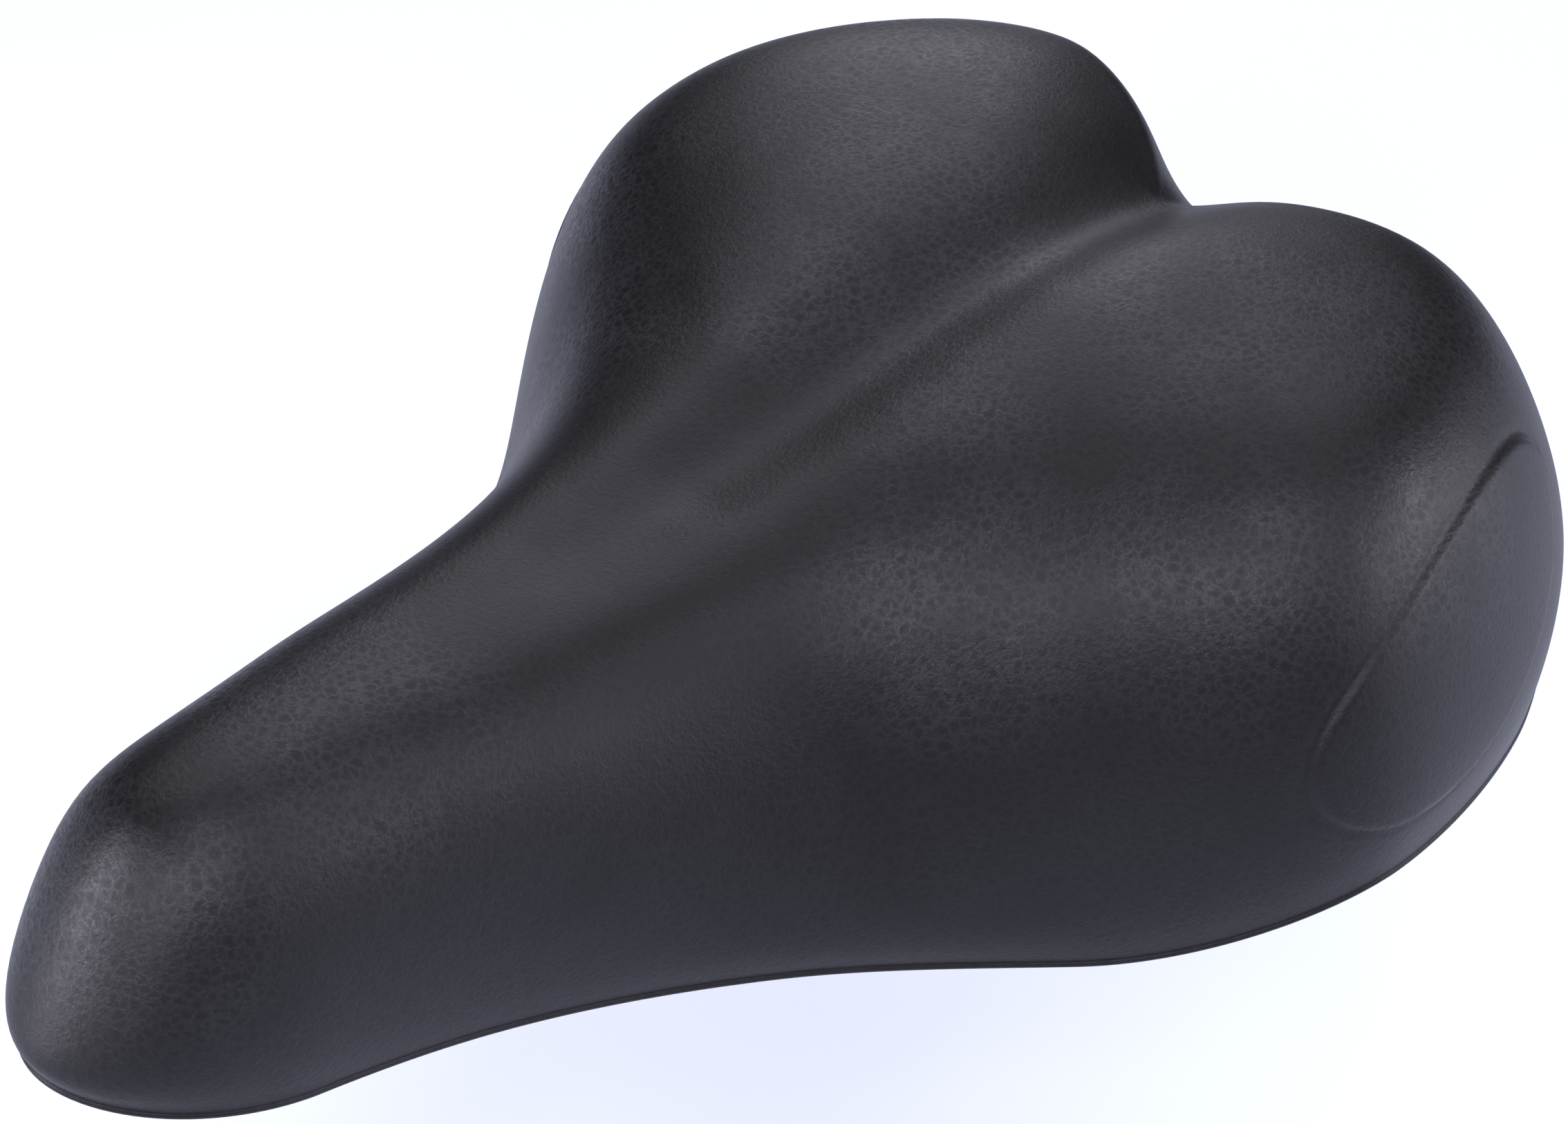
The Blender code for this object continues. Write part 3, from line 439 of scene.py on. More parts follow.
def pad_outline(columns):
    """Half of the pad's plan, from the nose tip round the lobe to the rear notch: (x, station) rows."""
    turn = np.linspace(0, math.pi / 2, OUTLINE_STEPS)
    nose = NOSE_HALF * np.sin(turn) ** (2 / NOSE_SQUARENESS)
    nose_station = NOSE_LENGTH * (1 - np.cos(turn) ** (2 / NOSE_SQUARENESS))
    along = np.linspace(NOSE_LENGTH, WIDEST_STATION, 2 * OUTLINE_STEPS)[1:]
    lobe = LOBE_HALF + (WIDEST_HALF - LOBE_HALF) * np.cos(turn) ** (2 / TAIL_SQUARENESS)
    lobe_station = WIDEST_STATION + (LENGTH - WIDEST_STATION) * np.sin(turn) ** (2 / TAIL_SQUARENESS)
    share = np.linspace(0, 1, OUTLINE_STEPS)[1:]
    notch_station = LENGTH - NOTCH_DEPTH * (1 - np.cos(math.pi * share)) / 2
    x = np.concatenate([nose, side_half(along), lobe[1:], LOBE_HALF * (1 - share)])
    station = np.concatenate([nose_station, along, lobe_station[1:], notch_station])
    length = np.concatenate([[0], np.cumsum(np.hypot(np.diff(x), np.diff(station)))])
    even = np.linspace(0, length[-1], columns)
    return np.stack([np.interp(even, length, x), np.interp(even, length, station)], 1)


def inward(rim):
    """Unit vectors in plan that point into the outline."""
    along = np.gradient(rim, axis=0)
    along[0] = (1, 0)
    along[-1] = (-1, 0)
    along /= np.linalg.norm(along, axis=1)[:, None]
    return np.stack([-along[:, 1], along[:, 0]], 1)


def pad_half_width(station):
    past = np.clip((station - WIDEST_STATION) / (LENGTH - WIDEST_STATION + TAIL_REACH), 0, 1)
    short = np.clip(1 - station / NOSE_LENGTH, 0, 1)
    front = NOSE_HALF * (1 - short**NOSE_SQUARENESS) ** (1 / NOSE_SQUARENESS)
    side = np.where(station < NOSE_LENGTH, np.maximum(front, LEAST_HALF), side_half(station))
    return side * np.sqrt(np.clip(1 - past**2, LEAST_TAIL_SHARE, 1))


def crown(x, station):
    """The pad's upper surface before its shoulders are rounded."""
    share = x / pad_half_width(station)
    outer = np.clip((share - FLAT_SHARE) / (1 - FLAT_SHARE), 0, OUTERMOST_SHARE)
    opening = np.clip((station - OPENING_STATION) / (LENGTH - OPENING_STATION), 0, 1)
    valley = np.exp(-((x / (VALLEY_HALF * (1 + VALLEY_OPENING * opening))) ** 2))
    return crown_level(station) - side_fall(station) * outer**2 - valley_depth(station) * valley


def dome(rim, low, top, radius, squareness, tuck=0.0):
    """Fine rows of points from a rim up over a rounded shoulder and in to the centre line."""
    way_in = inward(rim)
    front = FRONT_POLE
    rear = LENGTH - NOTCH_DEPTH - REAR_POLE
    share = np.clip((rim[:, 1] - front) / (LENGTH - REAR_POLE - front), 0, 1)
    centre = np.stack([0 * share, front + (rear - front) * share], 1)
    total = np.linalg.norm(centre - rim, axis=1)
    radius = np.minimum(radius, LARGEST_RADIUS_SHARE * total)
    reach = np.minimum(radius, MOST_SHOULDER_SHARE * total)
    turns = math.pi / 2 * np.linspace(0, 1, FINE_ROWS) ** 2
    distances = [reach * (1 - np.cos(turn)) for turn in turns]
    distances += [reach + step * (total - reach) for step in np.linspace(0, 1, FINE_ROWS)[1:]]
    grid = []
    for distance in distances:
        inside = np.clip(1 - distance / radius, 0, 1)
        rise = (1 - inside**squareness) ** (1 / squareness)
        plan = rim + (centre - rim) * (distance / total)[:, None]
        level = low + (top(plan[:, 0], plan[:, 1]) - low) * rise
        plan = plan + way_in * tuck * (np.clip(1 - rise / EDGE_TUCK_SHARE, 0, 1) ** 2)[:, None]
        plan[[0, -1], 0] = 0.0
        grid.append(np.column_stack([plan, level]))
    return np.array(grid)


def even_rows(grid, rows):
    """The same skin with its rows evenly spaced along each column."""
    steps = np.linalg.norm(np.diff(grid, axis=0), axis=2)
    lengths = np.concatenate([np.zeros((1, grid.shape[1])), np.cumsum(steps, axis=0)])
    even = np.empty((rows, grid.shape[1], 3))
    for column in range(grid.shape[1]):
        length = lengths[:, column]
        wanted = np.linspace(0, length[-1], rows)
        for axis in range(3):
            even[:, column, axis] = np.interp(wanted, length, grid[:, column, axis])
    return even


def crowded(count, last, shares):
    """Positions from 0 to last that lie closer together between two shares of the way."""
    way = np.linspace(0, 1, FINE_STEPS)
    first, end = shares
    soft = (end - first) * FINE_SOFTNESS
    inside = np.clip((way - first) / soft + 0.5, 0, 1) * np.clip((end - way) / soft + 0.5, 0, 1)
    total = np.cumsum(1 + (FINE_RATIO - 1) * inside)
    total = (total - total[0]) / (total[-1] - total[0])
    return np.interp(np.linspace(0, 1, count), total, way) * last


def resampled(grid, positions):
    """A smooth reading of the rows of a grid at positions between them."""
    padded = np.pad(grid, ((1, 2), (0, 0), (0, 0)), mode="reflect", reflect_type="odd")
    start = np.floor(positions).astype(int)
    t = (positions - start)[:, None, None]
    a, b, c, d = (padded[start + i] for i in range(4))
    return b + t * (c - a + t * (2 * a - 5 * b + 4 * c - d + t * (3 * (b - c) + d - a))) / 2


def fair(grid, rounds):
    """Evens out the curvature of half a skin, holding its rim. The other half is its mirror image."""
    mirrored = np.array([-1.0, 1.0, 1.0])
    for _ in range(rounds):
        before = np.concatenate([grid[:, 1:2] * mirrored, grid[:, :-1]], axis=1)
        after = np.concatenate([grid[:, 1:], grid[:, -2:-1] * mirrored], axis=1)
        below = np.concatenate([grid[:1], grid[:-1]])
        above = np.concatenate([grid[1:], grid[-2:-1] * mirrored])
        grid[1:] += FAIRING_SHARE * ((before + after + below + above) / 4 - grid)[1:]
    return grid


def outward(grid):
    """Unit normals of half a skin."""
    normals = np.cross(np.gradient(grid, axis=1), np.gradient(grid, axis=0))
    normals[:, [0, -1], 0] = 0.0
    normals[-1, :, 0] = 0.0
    sizes = np.linalg.norm(normals, axis=2, keepdims=True)
    return np.where(sizes > SHORT**3, normals / np.maximum(sizes, SHORT**3), (0.0, 0.0, 1.0))


# ---------------------------------------------------------------- mesh helpers

def link(obj):
    bpy.context.scene.collection.objects.link(obj)
    return obj


def mesh_object(name, bm):
    mesh = bpy.data.meshes.new(name)
    bm.to_mesh(mesh)
    bm.free()
    mesh.shade_smooth()
    return link(bpy.data.objects.new(name, mesh))


def apply_modifiers(obj):
    graph = bpy.context.evaluated_depsgraph_get()
    mesh = bpy.data.meshes.new_from_object(obj.evaluated_get(graph), depsgraph=graph)
    obj.modifiers.clear()
    obj.data = mesh
    return obj


def drop(obj):
    bpy.data.objects.remove(obj, do_unlink=True)


def points_of(obj):
    points = np.empty(len(obj.data.vertices) * 3)
    obj.data.vertices.foreach_get("co", points)
    return points.reshape(-1, 3)


def add_rows(bm, grid, flip=False):
    rows = [[bm.verts.new(place(*point)) for point in row] for row in grid]
    for low, high in zip(rows, rows[1:]):
        for i in range(len(low) - 1):
            corners = [low[i], low[i + 1], high[i + 1], high[i]]
            bm.faces.new(corners[::-1] if flip else corners)
    return rows


def whole(name, bm):
    """Ends a half that is open at the plane X = 0, and adds its mirror image."""
    bmesh.ops.remove_doubles(bm, verts=bm.verts, dist=SHORT)
    bmesh.ops.dissolve_degenerate(bm, edges=bm.edges, dist=SHORT)
    for vertex in bm.verts:
        if abs(vertex.co.x) < SHORT:
            vertex.co.x = 0.0
    geometry = bm.verts[:] + bm.edges[:] + bm.faces[:]
    bmesh.ops.mirror(bm, geom=geometry, axis="X", merge_dist=SHORT)
    bmesh.ops.recalc_face_normals(bm, faces=bm.faces)
    return mesh_object(name, bm)


def solidify(obj, thickness):
    modifier = obj.modifiers.new("Thickness", "SOLIDIFY")
    modifier.thickness = thickness
    modifier.use_even_offset = True


def combine(obj, others, operation, keep=False):
    """Joins, cuts or trims a piece with others, which are then dropped unless they are kept."""
    for other in others:
        modifier = obj.modifiers.new(operation.title(), "BOOLEAN")
        modifier.operation = operation
        modifier.object = other
    apply_modifiers(obj)
    if not keep:
        for other in others:
            drop(other)


def soften(obj, width=SOFT_EDGE, segments=SOFT_SEGMENTS):
    """Rounds the edges of a hard piece and shades its curved faces smooth."""
    apply_modifiers(obj)
    bevel = obj.modifiers.new("Edges", "BEVEL")
    bevel.width = width
    bevel.segments = segments
    bevel.limit_method = "ANGLE"
    bevel.angle_limit = SHARP_ANGLE
    bevel.use_clamp_overlap = True
    bevel.harden_normals = False
    apply_modifiers(obj)
    obj.data.shade_smooth()
    obj.data.set_sharp_from_angle(angle=SHARP_ANGLE)
    return obj


AXIS_TURNS = {
    "X": Matrix.Rotation(math.pi / 2, 4, "Y"),
    "Y": Matrix.Rotation(-math.pi / 2, 4, "X"),
    "Z": Matrix(),
}


def box(name, low, high):
    bm = bmesh.new()
    size = Matrix.Diagonal((*(high - low), 1.0))
    bmesh.ops.create_cube(bm, size=1.0, matrix=Matrix.Translation((low + high) / 2) @ size)
    return mesh_object(name, bm)


def cylinder(name, centre, radius, depth, axis="Z", sides=ROUND_STEPS):
    bm = bmesh.new()
    bmesh.ops.create_cone(
        bm, cap_ends=True, segments=sides, radius1=radius, radius2=radius, depth=depth,
        matrix=Matrix.Translation(centre) @ AXIS_TURNS[axis],
    )
    return mesh_object(name, bm)


def turned(name, profile, centre, axis="Z"):
    """A turned piece. The profile is (radius, height) points down its outer side. A ring's is closed."""
    bm = bmesh.new()
    turns = [2 * math.pi * i / ROUND_STEPS for i in range(ROUND_STEPS)]
    rings = []
    for radius, height in profile:
        if radius == 0:
            rings.append([bm.verts.new((0, 0, height))] * ROUND_STEPS)
        else:
            points = [(radius * math.cos(turn), radius * math.sin(turn), height) for turn in turns]
            rings.append([bm.verts.new(point) for point in points])
    if profile[0][0] > 0:
        rings.append(rings[0])
    for high, low in zip(rings, rings[1:]):
        for i in range(ROUND_STEPS):
            j = (i + 1) % ROUND_STEPS
            corners = dict.fromkeys([high[i], low[i], low[j], high[j]])
            bm.faces.new(list(corners))
    bmesh.ops.transform(bm, matrix=Matrix.Translation(centre) @ AXIS_TURNS[axis], verts=bm.verts)
    bmesh.ops.recalc_face_normals(bm, faces=bm.faces)
    return mesh_object(name, bm)


def named(piece, name):
    piece.name = name
    return piece


def joined(name, objects):
    """One piece made of several meshes that stay separate bodies."""
    bm = bmesh.new()
    for obj in objects:
        bm.from_mesh(obj.data)
        drop(obj)
    return mesh_object(name, bm)


def install(piece, body, slot, *nodes):
    """Gives a finished piece its slot and material, its body and the nodes that it stands for."""
    piece.data.materials.clear()
    piece.data.materials.append(MATERIALS[slot])
    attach(piece, body)
    if nodes:
        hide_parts(*nodes)
    return piece


# ---------------------------------------------------------------- cover, foam and base

def pad_grid():
    rim = pad_outline(COLUMNS)
    station = rim[:, 1]
    radius = shoulder_radius(station)
    squareness = shoulder_squareness(station)
    return dome(rim, edge_level(station), crown, radius, squareness, EDGE_TUCK)


def pan_grid():
    outline = pad_outline(PAN_COLUMNS)
    rim = outline + inward(outline) * PAN_INSET
    low = edge_level(outline[:, 1]) + PAN_LIFT
    radius = pan_shoulder(outline[:, 1])
    grid = dome(rim, low, lambda x, station: pan_level(station), radius, PAN_SQUARENESS)
    return even_rows(grid, PAN_ROWS)


def settle(grid, body):
    """Moves the grid as the nearest points of a simulated body moved."""
    rest = points_of(body)
    for frame_number in range(1, CLOTH_FRAMES + 1):
        bpy.context.scene.frame_set(frame_number)
    apply_modifiers(body)
    moves = points_of(body) - rest
    sizes = np.linalg.norm(moves, axis=1, keepdims=True)
    moves *= MOST_SWELL / (MOST_SWELL + sizes)
    tree = kdtree.KDTree(len(rest))
    for i, point in enumerate(rest):
        tree.insert(point, i)
    tree.balance()
    for row in grid:
        for i, point in enumerate(row):
            near = tree.find_n(place(*point), NEIGHBOURS)
            weights = np.array([math.exp(-((distance / VOXEL) ** 2)) for _, _, distance in near])
            move = weights @ moves[[index for _, index, _ in near]] / weights.sum()
            row[i] += move
    bpy.context.scene.frame_set(1)


def swell(grid):
    """Blows the skin up a little over its padding in a short cloth simulation."""
    bottom = grid[0].copy()
    bottom[:, 0] = 0.0
    bm = bmesh.new()
    add_rows(bm, [bottom, *grid])
    body = whole("swelling_body", bm)
    remesh = body.modifiers.new("Voxels", "REMESH")
    remesh.mode = "VOXEL"
    remesh.voxel_size = VOXEL
    apply_modifiers(body)
    station = points_of(body)[:, 1] + CLAMP_STATION
    height = points_of(body)[:, 2] + RAIL_LEVEL - edge_level(station)
    held = body.vertex_groups.new(name="held")
    held.add(np.flatnonzero(height < HELD_HEIGHT).tolist(), 1.0, "REPLACE")
    cloth = body.modifiers.new("Cloth", "CLOTH")
    cloth.settings.effector_weights.gravity = 0.0
    cloth.settings.use_pressure = True
    cloth.settings.uniform_pressure_force = PRESSURE
    cloth.settings.vertex_group_mass = "held"
    cloth.collision_settings.use_collision = False
    settle(grid, body)
    drop(body)
    grid[:, [0, -1], 0] = 0.0
    grid[-1, :, 0] = 0.0
    return grid


def panel_rise(arc, level):
    """How far the flank panel stands up at a distance round the outline and a level."""
    along, across = arc - PANEL_ARC, level - PANEL_LEVEL
    long_way = along * math.cos(PANEL_TILT) + across * math.sin(PANEL_TILT)
    short_way = across * math.cos(PANEL_TILT) - along * math.sin(PANEL_TILT)
    long_share = np.abs(long_way / PANEL_HALF_LENGTH) ** PANEL_SQUARENESS
    short_share = np.abs(short_way / PANEL_HALF_HEIGHT) ** PANEL_SQUARENESS
    inside = PANEL_HALF_HEIGHT * (1 - (long_share + short_share) ** (1 / PANEL_SQUARENESS))
    step = np.clip(inside / PANEL_EDGE + 0.5, 0, 1)
    seam = np.exp(-((inside / PANEL_EDGE + 0.5) ** 2) * SEAM_SHARPNESS)
    return PANEL_RAISE * step**2 * (3 - 2 * step) - PANEL_SEAM * seam


def carved(grid):
    """Cuts the soft channel along the middle."""
    across = np.exp(-((grid[..., 0] / GROOVE_HALF) ** 2))
    rise = np.clip((grid[..., 2] - grid[:1, :, 2]) / (grid[-1:, :, 2] - grid[:1, :, 2]), 0, 1)
    grid[..., 2] -= groove_depth(grid[..., 1]) * across * rise
    return grid


def detailed(grid):
    """The cover's outer skin, more finely divided, with its channel and its flank panels."""
    columns = crowded(FINE_COLUMNS, COLUMNS - 1, PANEL_COLUMN_SHARES)
    grid = resampled(grid, crowded(FINE_COVER_ROWS, ROWS - 1, PANEL_ROW_SHARES))
    grid = resampled(grid.swapaxes(0, 1), columns).swapaxes(0, 1)
    grid[:, [0, -1], 0] = 0.0
    grid[-1, :, 0] = 0.0
    outline = pad_outline(COLUMNS)
    arc = columns * np.linalg.norm(np.diff(outline, axis=0), axis=1).mean()
    grid += outward(grid) * panel_rise(arc[None, :], grid[..., 2])[..., None]
    return carved(grid)


def hem_rows(rim):
    """Rows from the hem's pleated inner edge out and round the rolled lower edge."""
    way_in = inward(rim[:, :2])
    width = hem_width(rim[:, 1])[:, None]
    steps = np.linalg.norm(np.diff(rim[:, :2], axis=0), axis=1)
    arc = np.concatenate([[0], np.cumsum(steps)])
    pleats = PLEAT_HEIGHT * np.sin(math.pi * arc / PLEAT_PITCH) ** PLEAT_SHARPNESS
    rows = []
    for share in np.linspace(1, HEM_LEAST_SHARE, HEM_ROWS):
        row = rim.copy()
        row[:, :2] += way_in * (HEM_ROLL + (width - HEM_ROLL) * share)
        row[:, 2] -= pleats * share
        rows.append(row)
    for turn in np.linspace(math.pi / 2, ROLL_END, ROLL_ROWS):
        row = rim.copy()
        row[:, :2] += way_in * (HEM_ROLL * (1 - math.cos(turn)) - HEM_PROUD)
        row[:, 2] += HEM_ROLL * (1 - math.sin(turn))
        rows.append(row)
    for row in rows:
        row[[0, -1], 0] = 0.0
    return rows


def make_cover(grid):
    """The skin and its folded hem, given a thickness."""
    rim = grid[0].copy()
    height = grid[..., 2] - rim[:, 2]
    skin = grid.copy()
    skin[..., 2] += HEM_LIFT * np.exp(-height / HEM_REACH)
    bm = bmesh.new()
    add_rows(bm, [*hem_rows(rim), *skin])
    cover = whole("cover_skin", bm)
    solidify(cover, COVER_THICKNESS)
    return apply_modifiers(cover)


def make_foam(grid):
    """The pad between the cover and the pan, closed by a narrow band above the pan's rim."""
    upper = (grid - outward(grid) * FOAM_INSET)[FOAM_FIRST_ROW::2, ::2]
    pan = pan_grid()
    lower = (pan + outward(pan) * FOAM_CLEARANCE)[FOAM_FIRST_PAN_ROW:]
    bm = bmesh.new()
    add_rows(bm, upper)
    add_rows(bm, lower, flip=True)
    add_rows(bm, np.array([lower[0], upper[0]]))
    return whole("foam_core", bm)


def make_pan_core():
    """The space under the middle of the pan's wall, which trims the ribs and bosses to the wall."""
    pan = pan_grid()
    grid = pan - outward(pan) * PAN_THICKNESS / 2
    floor = grid[0].copy()
    floor[:, 2] = BELOW_PAN
    middle = floor.copy()
    middle[:, 0] = 0.0
    bm = bmesh.new()
    add_rows(bm, [middle, floor, *grid])
    return whole("pan_core", bm)


def pan_supports():
    """Ribs, elastomer bosses and the nose block, each still to be trimmed by the core."""
    supports = []
    for station, half, level in CROSS_RIBS:
        low = place(-half, station - RIB_HALF_THICKNESS, level)
        supports.append(box("rib", low, place(half, station + RIB_HALF_THICKNESS, ABOVE_PAN)))
    for sign in SIDES.values():
        middle = sign * LONG_RIB_HALF
        low = place(middle - RIB_HALF_THICKNESS, LONG_RIB_STATIONS[0], LONG_RIB_LEVEL)
        high = place(middle + RIB_HALF_THICKNESS, LONG_RIB_STATIONS[1], ABOVE_PAN)
        supports.append(box("rib", low, high))
        centre = place(sign * ELASTOMER_HALF, BRIDGE_STATION, (BOSS_LEVEL + ABOVE_PAN) / 2)
        supports.append(cylinder("boss", centre, BOSS_RADIUS, ABOVE_PAN - BOSS_LEVEL))
    low = place(-BLOCK_HALF, BLOCK_FRONT, BLOCK_LEVEL)
    supports.append(box("nose_block", low, place(BLOCK_HALF, BLOCK_REAR, ABOVE_PAN)))
    return [soften(support, RIB_ROUND) for support in supports]


def pan_holes():
    """The bosses' bolt holes and nut pockets, and the nose block's slot and screw holes."""
    holes = []
    for sign in SIDES.values():
        centre = place(sign * ELASTOMER_HALF, BRIDGE_STATION, NUT_LEVEL)
        holes.append(cylinder("bolt_hole", centre, BOLT_RADIUS + GAP, 2 * ABOVE_PAN))
        centre.z += ABOVE_PAN / 2 - GAP
        holes.append(cylinder("nut_pocket", centre, HEX_RADIUS + GAP, ABOVE_PAN))
    slot = BUSHING_RADIUS + GAP
    holes.append(cylinder("slot", place(0, NOSE_BAR_STATION, NOSE_BAR_LEVEL), slot, CUT_DEPTH, axis="X"))
    low = place(-CUT_DEPTH / 2, NOSE_BAR_STATION - slot, 0.0)
    holes.append(box("way", low, place(CUT_DEPTH / 2, NOSE_BAR_STATION + slot, NOSE_BAR_LEVEL)))
    for station in SCREW_STATIONS.values():
        depth = 2 * (SCREW_LENGTH - CLIP_THICKNESS)
        holes.append(cylinder("screw_hole", place(0, station, BLOCK_LEVEL), SCREW_RADIUS + GAP, depth))
    return holes


def make_base():
    bm = bmesh.new()
    add_rows(bm, pan_grid())
    base = whole("base_shell", bm)
    solidify(base, PAN_THICKNESS)
    apply_modifiers(base)
    core = make_pan_core()
    supports = pan_supports()
    for support in supports:
        combine(support, [core], "INTERSECT", keep=True)
    drop(core)
    combine(base, supports, "UNION")
    combine(base, pan_holes(), "DIFFERENCE")
    base.data.set_sharp_from_angle(angle=SHARP_ANGLE)
    return base


# ---------------------------------------------------------------- rail and bridge

def rounded_path(corners, radii):
    """Points along straight runs joined by arcs of the given radius at each inner corner."""
    points = [corners[0]]
    for before, corner, after, radius in zip(corners, corners[1:], corners[2:], radii):
        back = (before - corner).normalized()
        ahead = (after - corner).normalized()
        bend = math.pi - back.angle(ahead)
        reach = radius * math.tan(bend / 2)
        centre = corner + (back + ahead).normalized() * math.hypot(radius, reach)
        start, end = corner + back * reach - centre, corner + ahead * reach - centre
        count = max(2, round(bend / BEND_STEP))
        for i in range(count + 1):
            share = i / count
            weights = math.sin(bend * (1 - share)), math.sin(bend * share)
            points.append(centre + (start * weights[0] + end * weights[1]) / math.sin(bend))
    points.append(corners[-1])
    return points


def tube(name, points, radius, sizes=None):
    """A round wire along the points, which may swell and shrink on the way."""
    curve = bpy.data.curves.new(name, "CURVE")
    curve.dimensions = "3D"
    curve.bevel_depth = radius
    curve.bevel_resolution = WIRE_RESOLUTION
    curve.use_fill_caps = True
    spline = curve.splines.new("POLY")
    spline.points.add(len(points) - 1)
    for i, position in enumerate(points):
        spline.points[i].co = (*position, 1.0)
        spline.points[i].radius = 1.0 if sizes is None else sizes[i]
    wire = link(bpy.data.objects.new(name, curve))
    graph = bpy.context.evaluated_depsgraph_get()
    mesh = bpy.data.meshes.new_from_object(wire.evaluated_get(graph), depsgraph=graph)
    drop(wire)
    mesh.shade_smooth()
    mesh.set_sharp_from_angle(angle=WIRE_SHARP_ANGLE)
    return link(bpy.data.objects.new(name, mesh))


def rail_corners():
    """The left half of the rail's bend points, from the middle of the nose bar to the rear end."""
    half = RAIL_SPACING / 2
    return [
        place(NOSE_BAR_HALF, NOSE_BAR_STATION, NOSE_BAR_LEVEL),
        place(LEG_HALF, LEG_STATION, LEG_LEVEL),
        place(half, CLAMP_CORNERS[0], RAIL_LEVEL),
        place(half, CLAMP_CORNERS[1], RAIL_LEVEL),
        place(RAIL_END_HALF, SPREAD_CORNER, RAIL_END_LEVEL),
        place(RAIL_END_HALF, RAIL_END_STATION, RAIL_END_LEVEL),
    ]


def make_rail():
    left = rail_corners()
    right = [Vector((-corner.x, corner.y, corner.z)) for corner in left[::-1]]
    bends = [REAR_BEND, CLAMP_BEND, CLAMP_BEND, LEG_BEND, NOSE_BEND]
    radii = bends + bends[::-1]
    return tube("rail_tube", rounded_path(right + left, radii), RAIL_RADIUS)


def make_welds():
    """Rippled beads along both sides of each rail end, under the bridge."""
    beads = []
    steps = np.linspace(-1, 1, WELD_STEPS)
    ripples = 1 + WELD_RIPPLE * np.abs(np.sin(WELD_WAVES * math.pi * steps))
    sizes = ripples * np.sqrt(1 - steps**WELD_BLUNTNESS) + WELD_LEAST
    half = BRIDGE_HALF_WIDTH - WELD_RADIUS
    for sign in SIDES.values():
        for offset in (-WELD_OFFSET, WELD_OFFSET):
            x = sign * (RAIL_END_HALF + offset)
            level = -BRIDGE_THICKNESS - WELD_RADIUS / 2
            points = [place(x, BRIDGE_STATION + step * half, level) for step in steps]
            beads.append(tube("weld", points, WELD_RADIUS, sizes))
    return joined("weld_beads", beads)


def make_bridge():
    low = place(-BRIDGE_HALF_LENGTH, BRIDGE_STATION - BRIDGE_HALF_WIDTH, -BRIDGE_THICKNESS)
    bridge = box("bridge_plate", low, place(BRIDGE_HALF_LENGTH, BRIDGE_STATION + BRIDGE_HALF_WIDTH, 0.0))
    weights = bridge.data.attributes.new("bevel_weight_edge", "FLOAT", "EDGE")
    for edge in bridge.data.edges:
        first, second = (bridge.data.vertices[i].co for i in edge.vertices)
        weights.data[edge.index].value = float(abs(first.z - second.z) > SHORT)
    corners = bridge.modifiers.new("Corners", "BEVEL")
    corners.width = BRIDGE_CORNER
    corners.segments = CORNER_SEGMENTS
    corners.limit_method = "WEIGHT"
    apply_modifiers(bridge)
    centres = [place(sign * ELASTOMER_HALF, BRIDGE_STATION, 0.0) for sign in SIDES.values()]
    holes = [cylinder("hole", centre, BOLT_HOLE_RADIUS, CUT_DEPTH) for centre in centres]
    combine(bridge, holes, "DIFFERENCE")
    return soften(bridge, PLATE_EDGE)


# ---------------------------------------------------------------- turned pieces and fasteners

def make_rail_cap(sign):
    open_end = BRIDGE_STATION + BRIDGE_HALF_WIDTH + 2 * GAP - RAIL_END_STATION
    bore = RAIL_RADIUS + GAP
    profile = [
        (0.0, GAP + CAP_END),
        (CAP_RADIUS, GAP + CAP_END),
        (CAP_RADIUS, open_end),
        (bore, open_end),
        (bore, GAP),
        (0.0, GAP),
    ]
    centre = place(sign * RAIL_END_HALF, RAIL_END_STATION, RAIL_END_LEVEL)
    return soften(turned("rail_cap", profile, centre, axis="Y"), CAP_EDGE, ROUND_SEGMENTS)


def make_elastomer(base):
    middle = (ELASTOMER_LOW + ELASTOMER_HIGH) / 2
    swing = np.linspace(1, -1, WAIST_STEPS)
    radii = ELASTOMER_RADIUS - WAIST_DEPTH * np.cos(math.pi * swing / 2) ** 2
    profile = [
        (ELASTOMER_RADIUS, ELASTOMER_HIGH),
        *zip(radii, middle + WAIST_HALF * swing),
        (ELASTOMER_RADIUS, ELASTOMER_LOW),
        (BOLT_HOLE_RADIUS, ELASTOMER_LOW),
        (BOLT_HOLE_RADIUS, ELASTOMER_HIGH),
    ]
    return soften(turned("elastomer", profile, base), RUBBER_EDGE, ROUND_SEGMENTS)


def make_lower_seat(base):
    floor = GAP + SEAT_THICKNESS
    inner = ELASTOMER_RADIUS + 2 * GAP
    profile = [
        (SEAT_RADIUS, floor + SEAT_RIM),
        (SEAT_RADIUS, GAP),
        (BOLT_HOLE_RADIUS, GAP),
        (BOLT_HOLE_RADIUS, floor),
        (inner, floor),
        (inner, floor + SEAT_RIM),
    ]
    return soften(turned("lower_seat", profile, base))


def make_upper_cup(base):
    roof = ELASTOMER_HIGH + GAP
    inner = ELASTOMER_RADIUS + 2 * GAP
    profile = [
        (SEAT_RADIUS, roof + SEAT_THICKNESS),
        (SEAT_RADIUS, roof - SEAT_RIM),
        (inner, roof - SEAT_RIM),
        (inner, roof),
        (BOLT_RADIUS + GAP, roof),
        (BOLT_RADIUS + GAP, roof + SEAT_THICKNESS),
    ]
    return soften(turned("upper_cup", profile, base))


def make_washer(base):
    high = -BRIDGE_THICKNESS - GAP
    inner = BOLT_RADIUS + GAP
    low = high - WASHER_THICKNESS
    profile = [(WASHER_RADIUS, high), (WASHER_RADIUS, low), (inner, low), (inner, high)]
    return soften(turned("washer", profile, base))


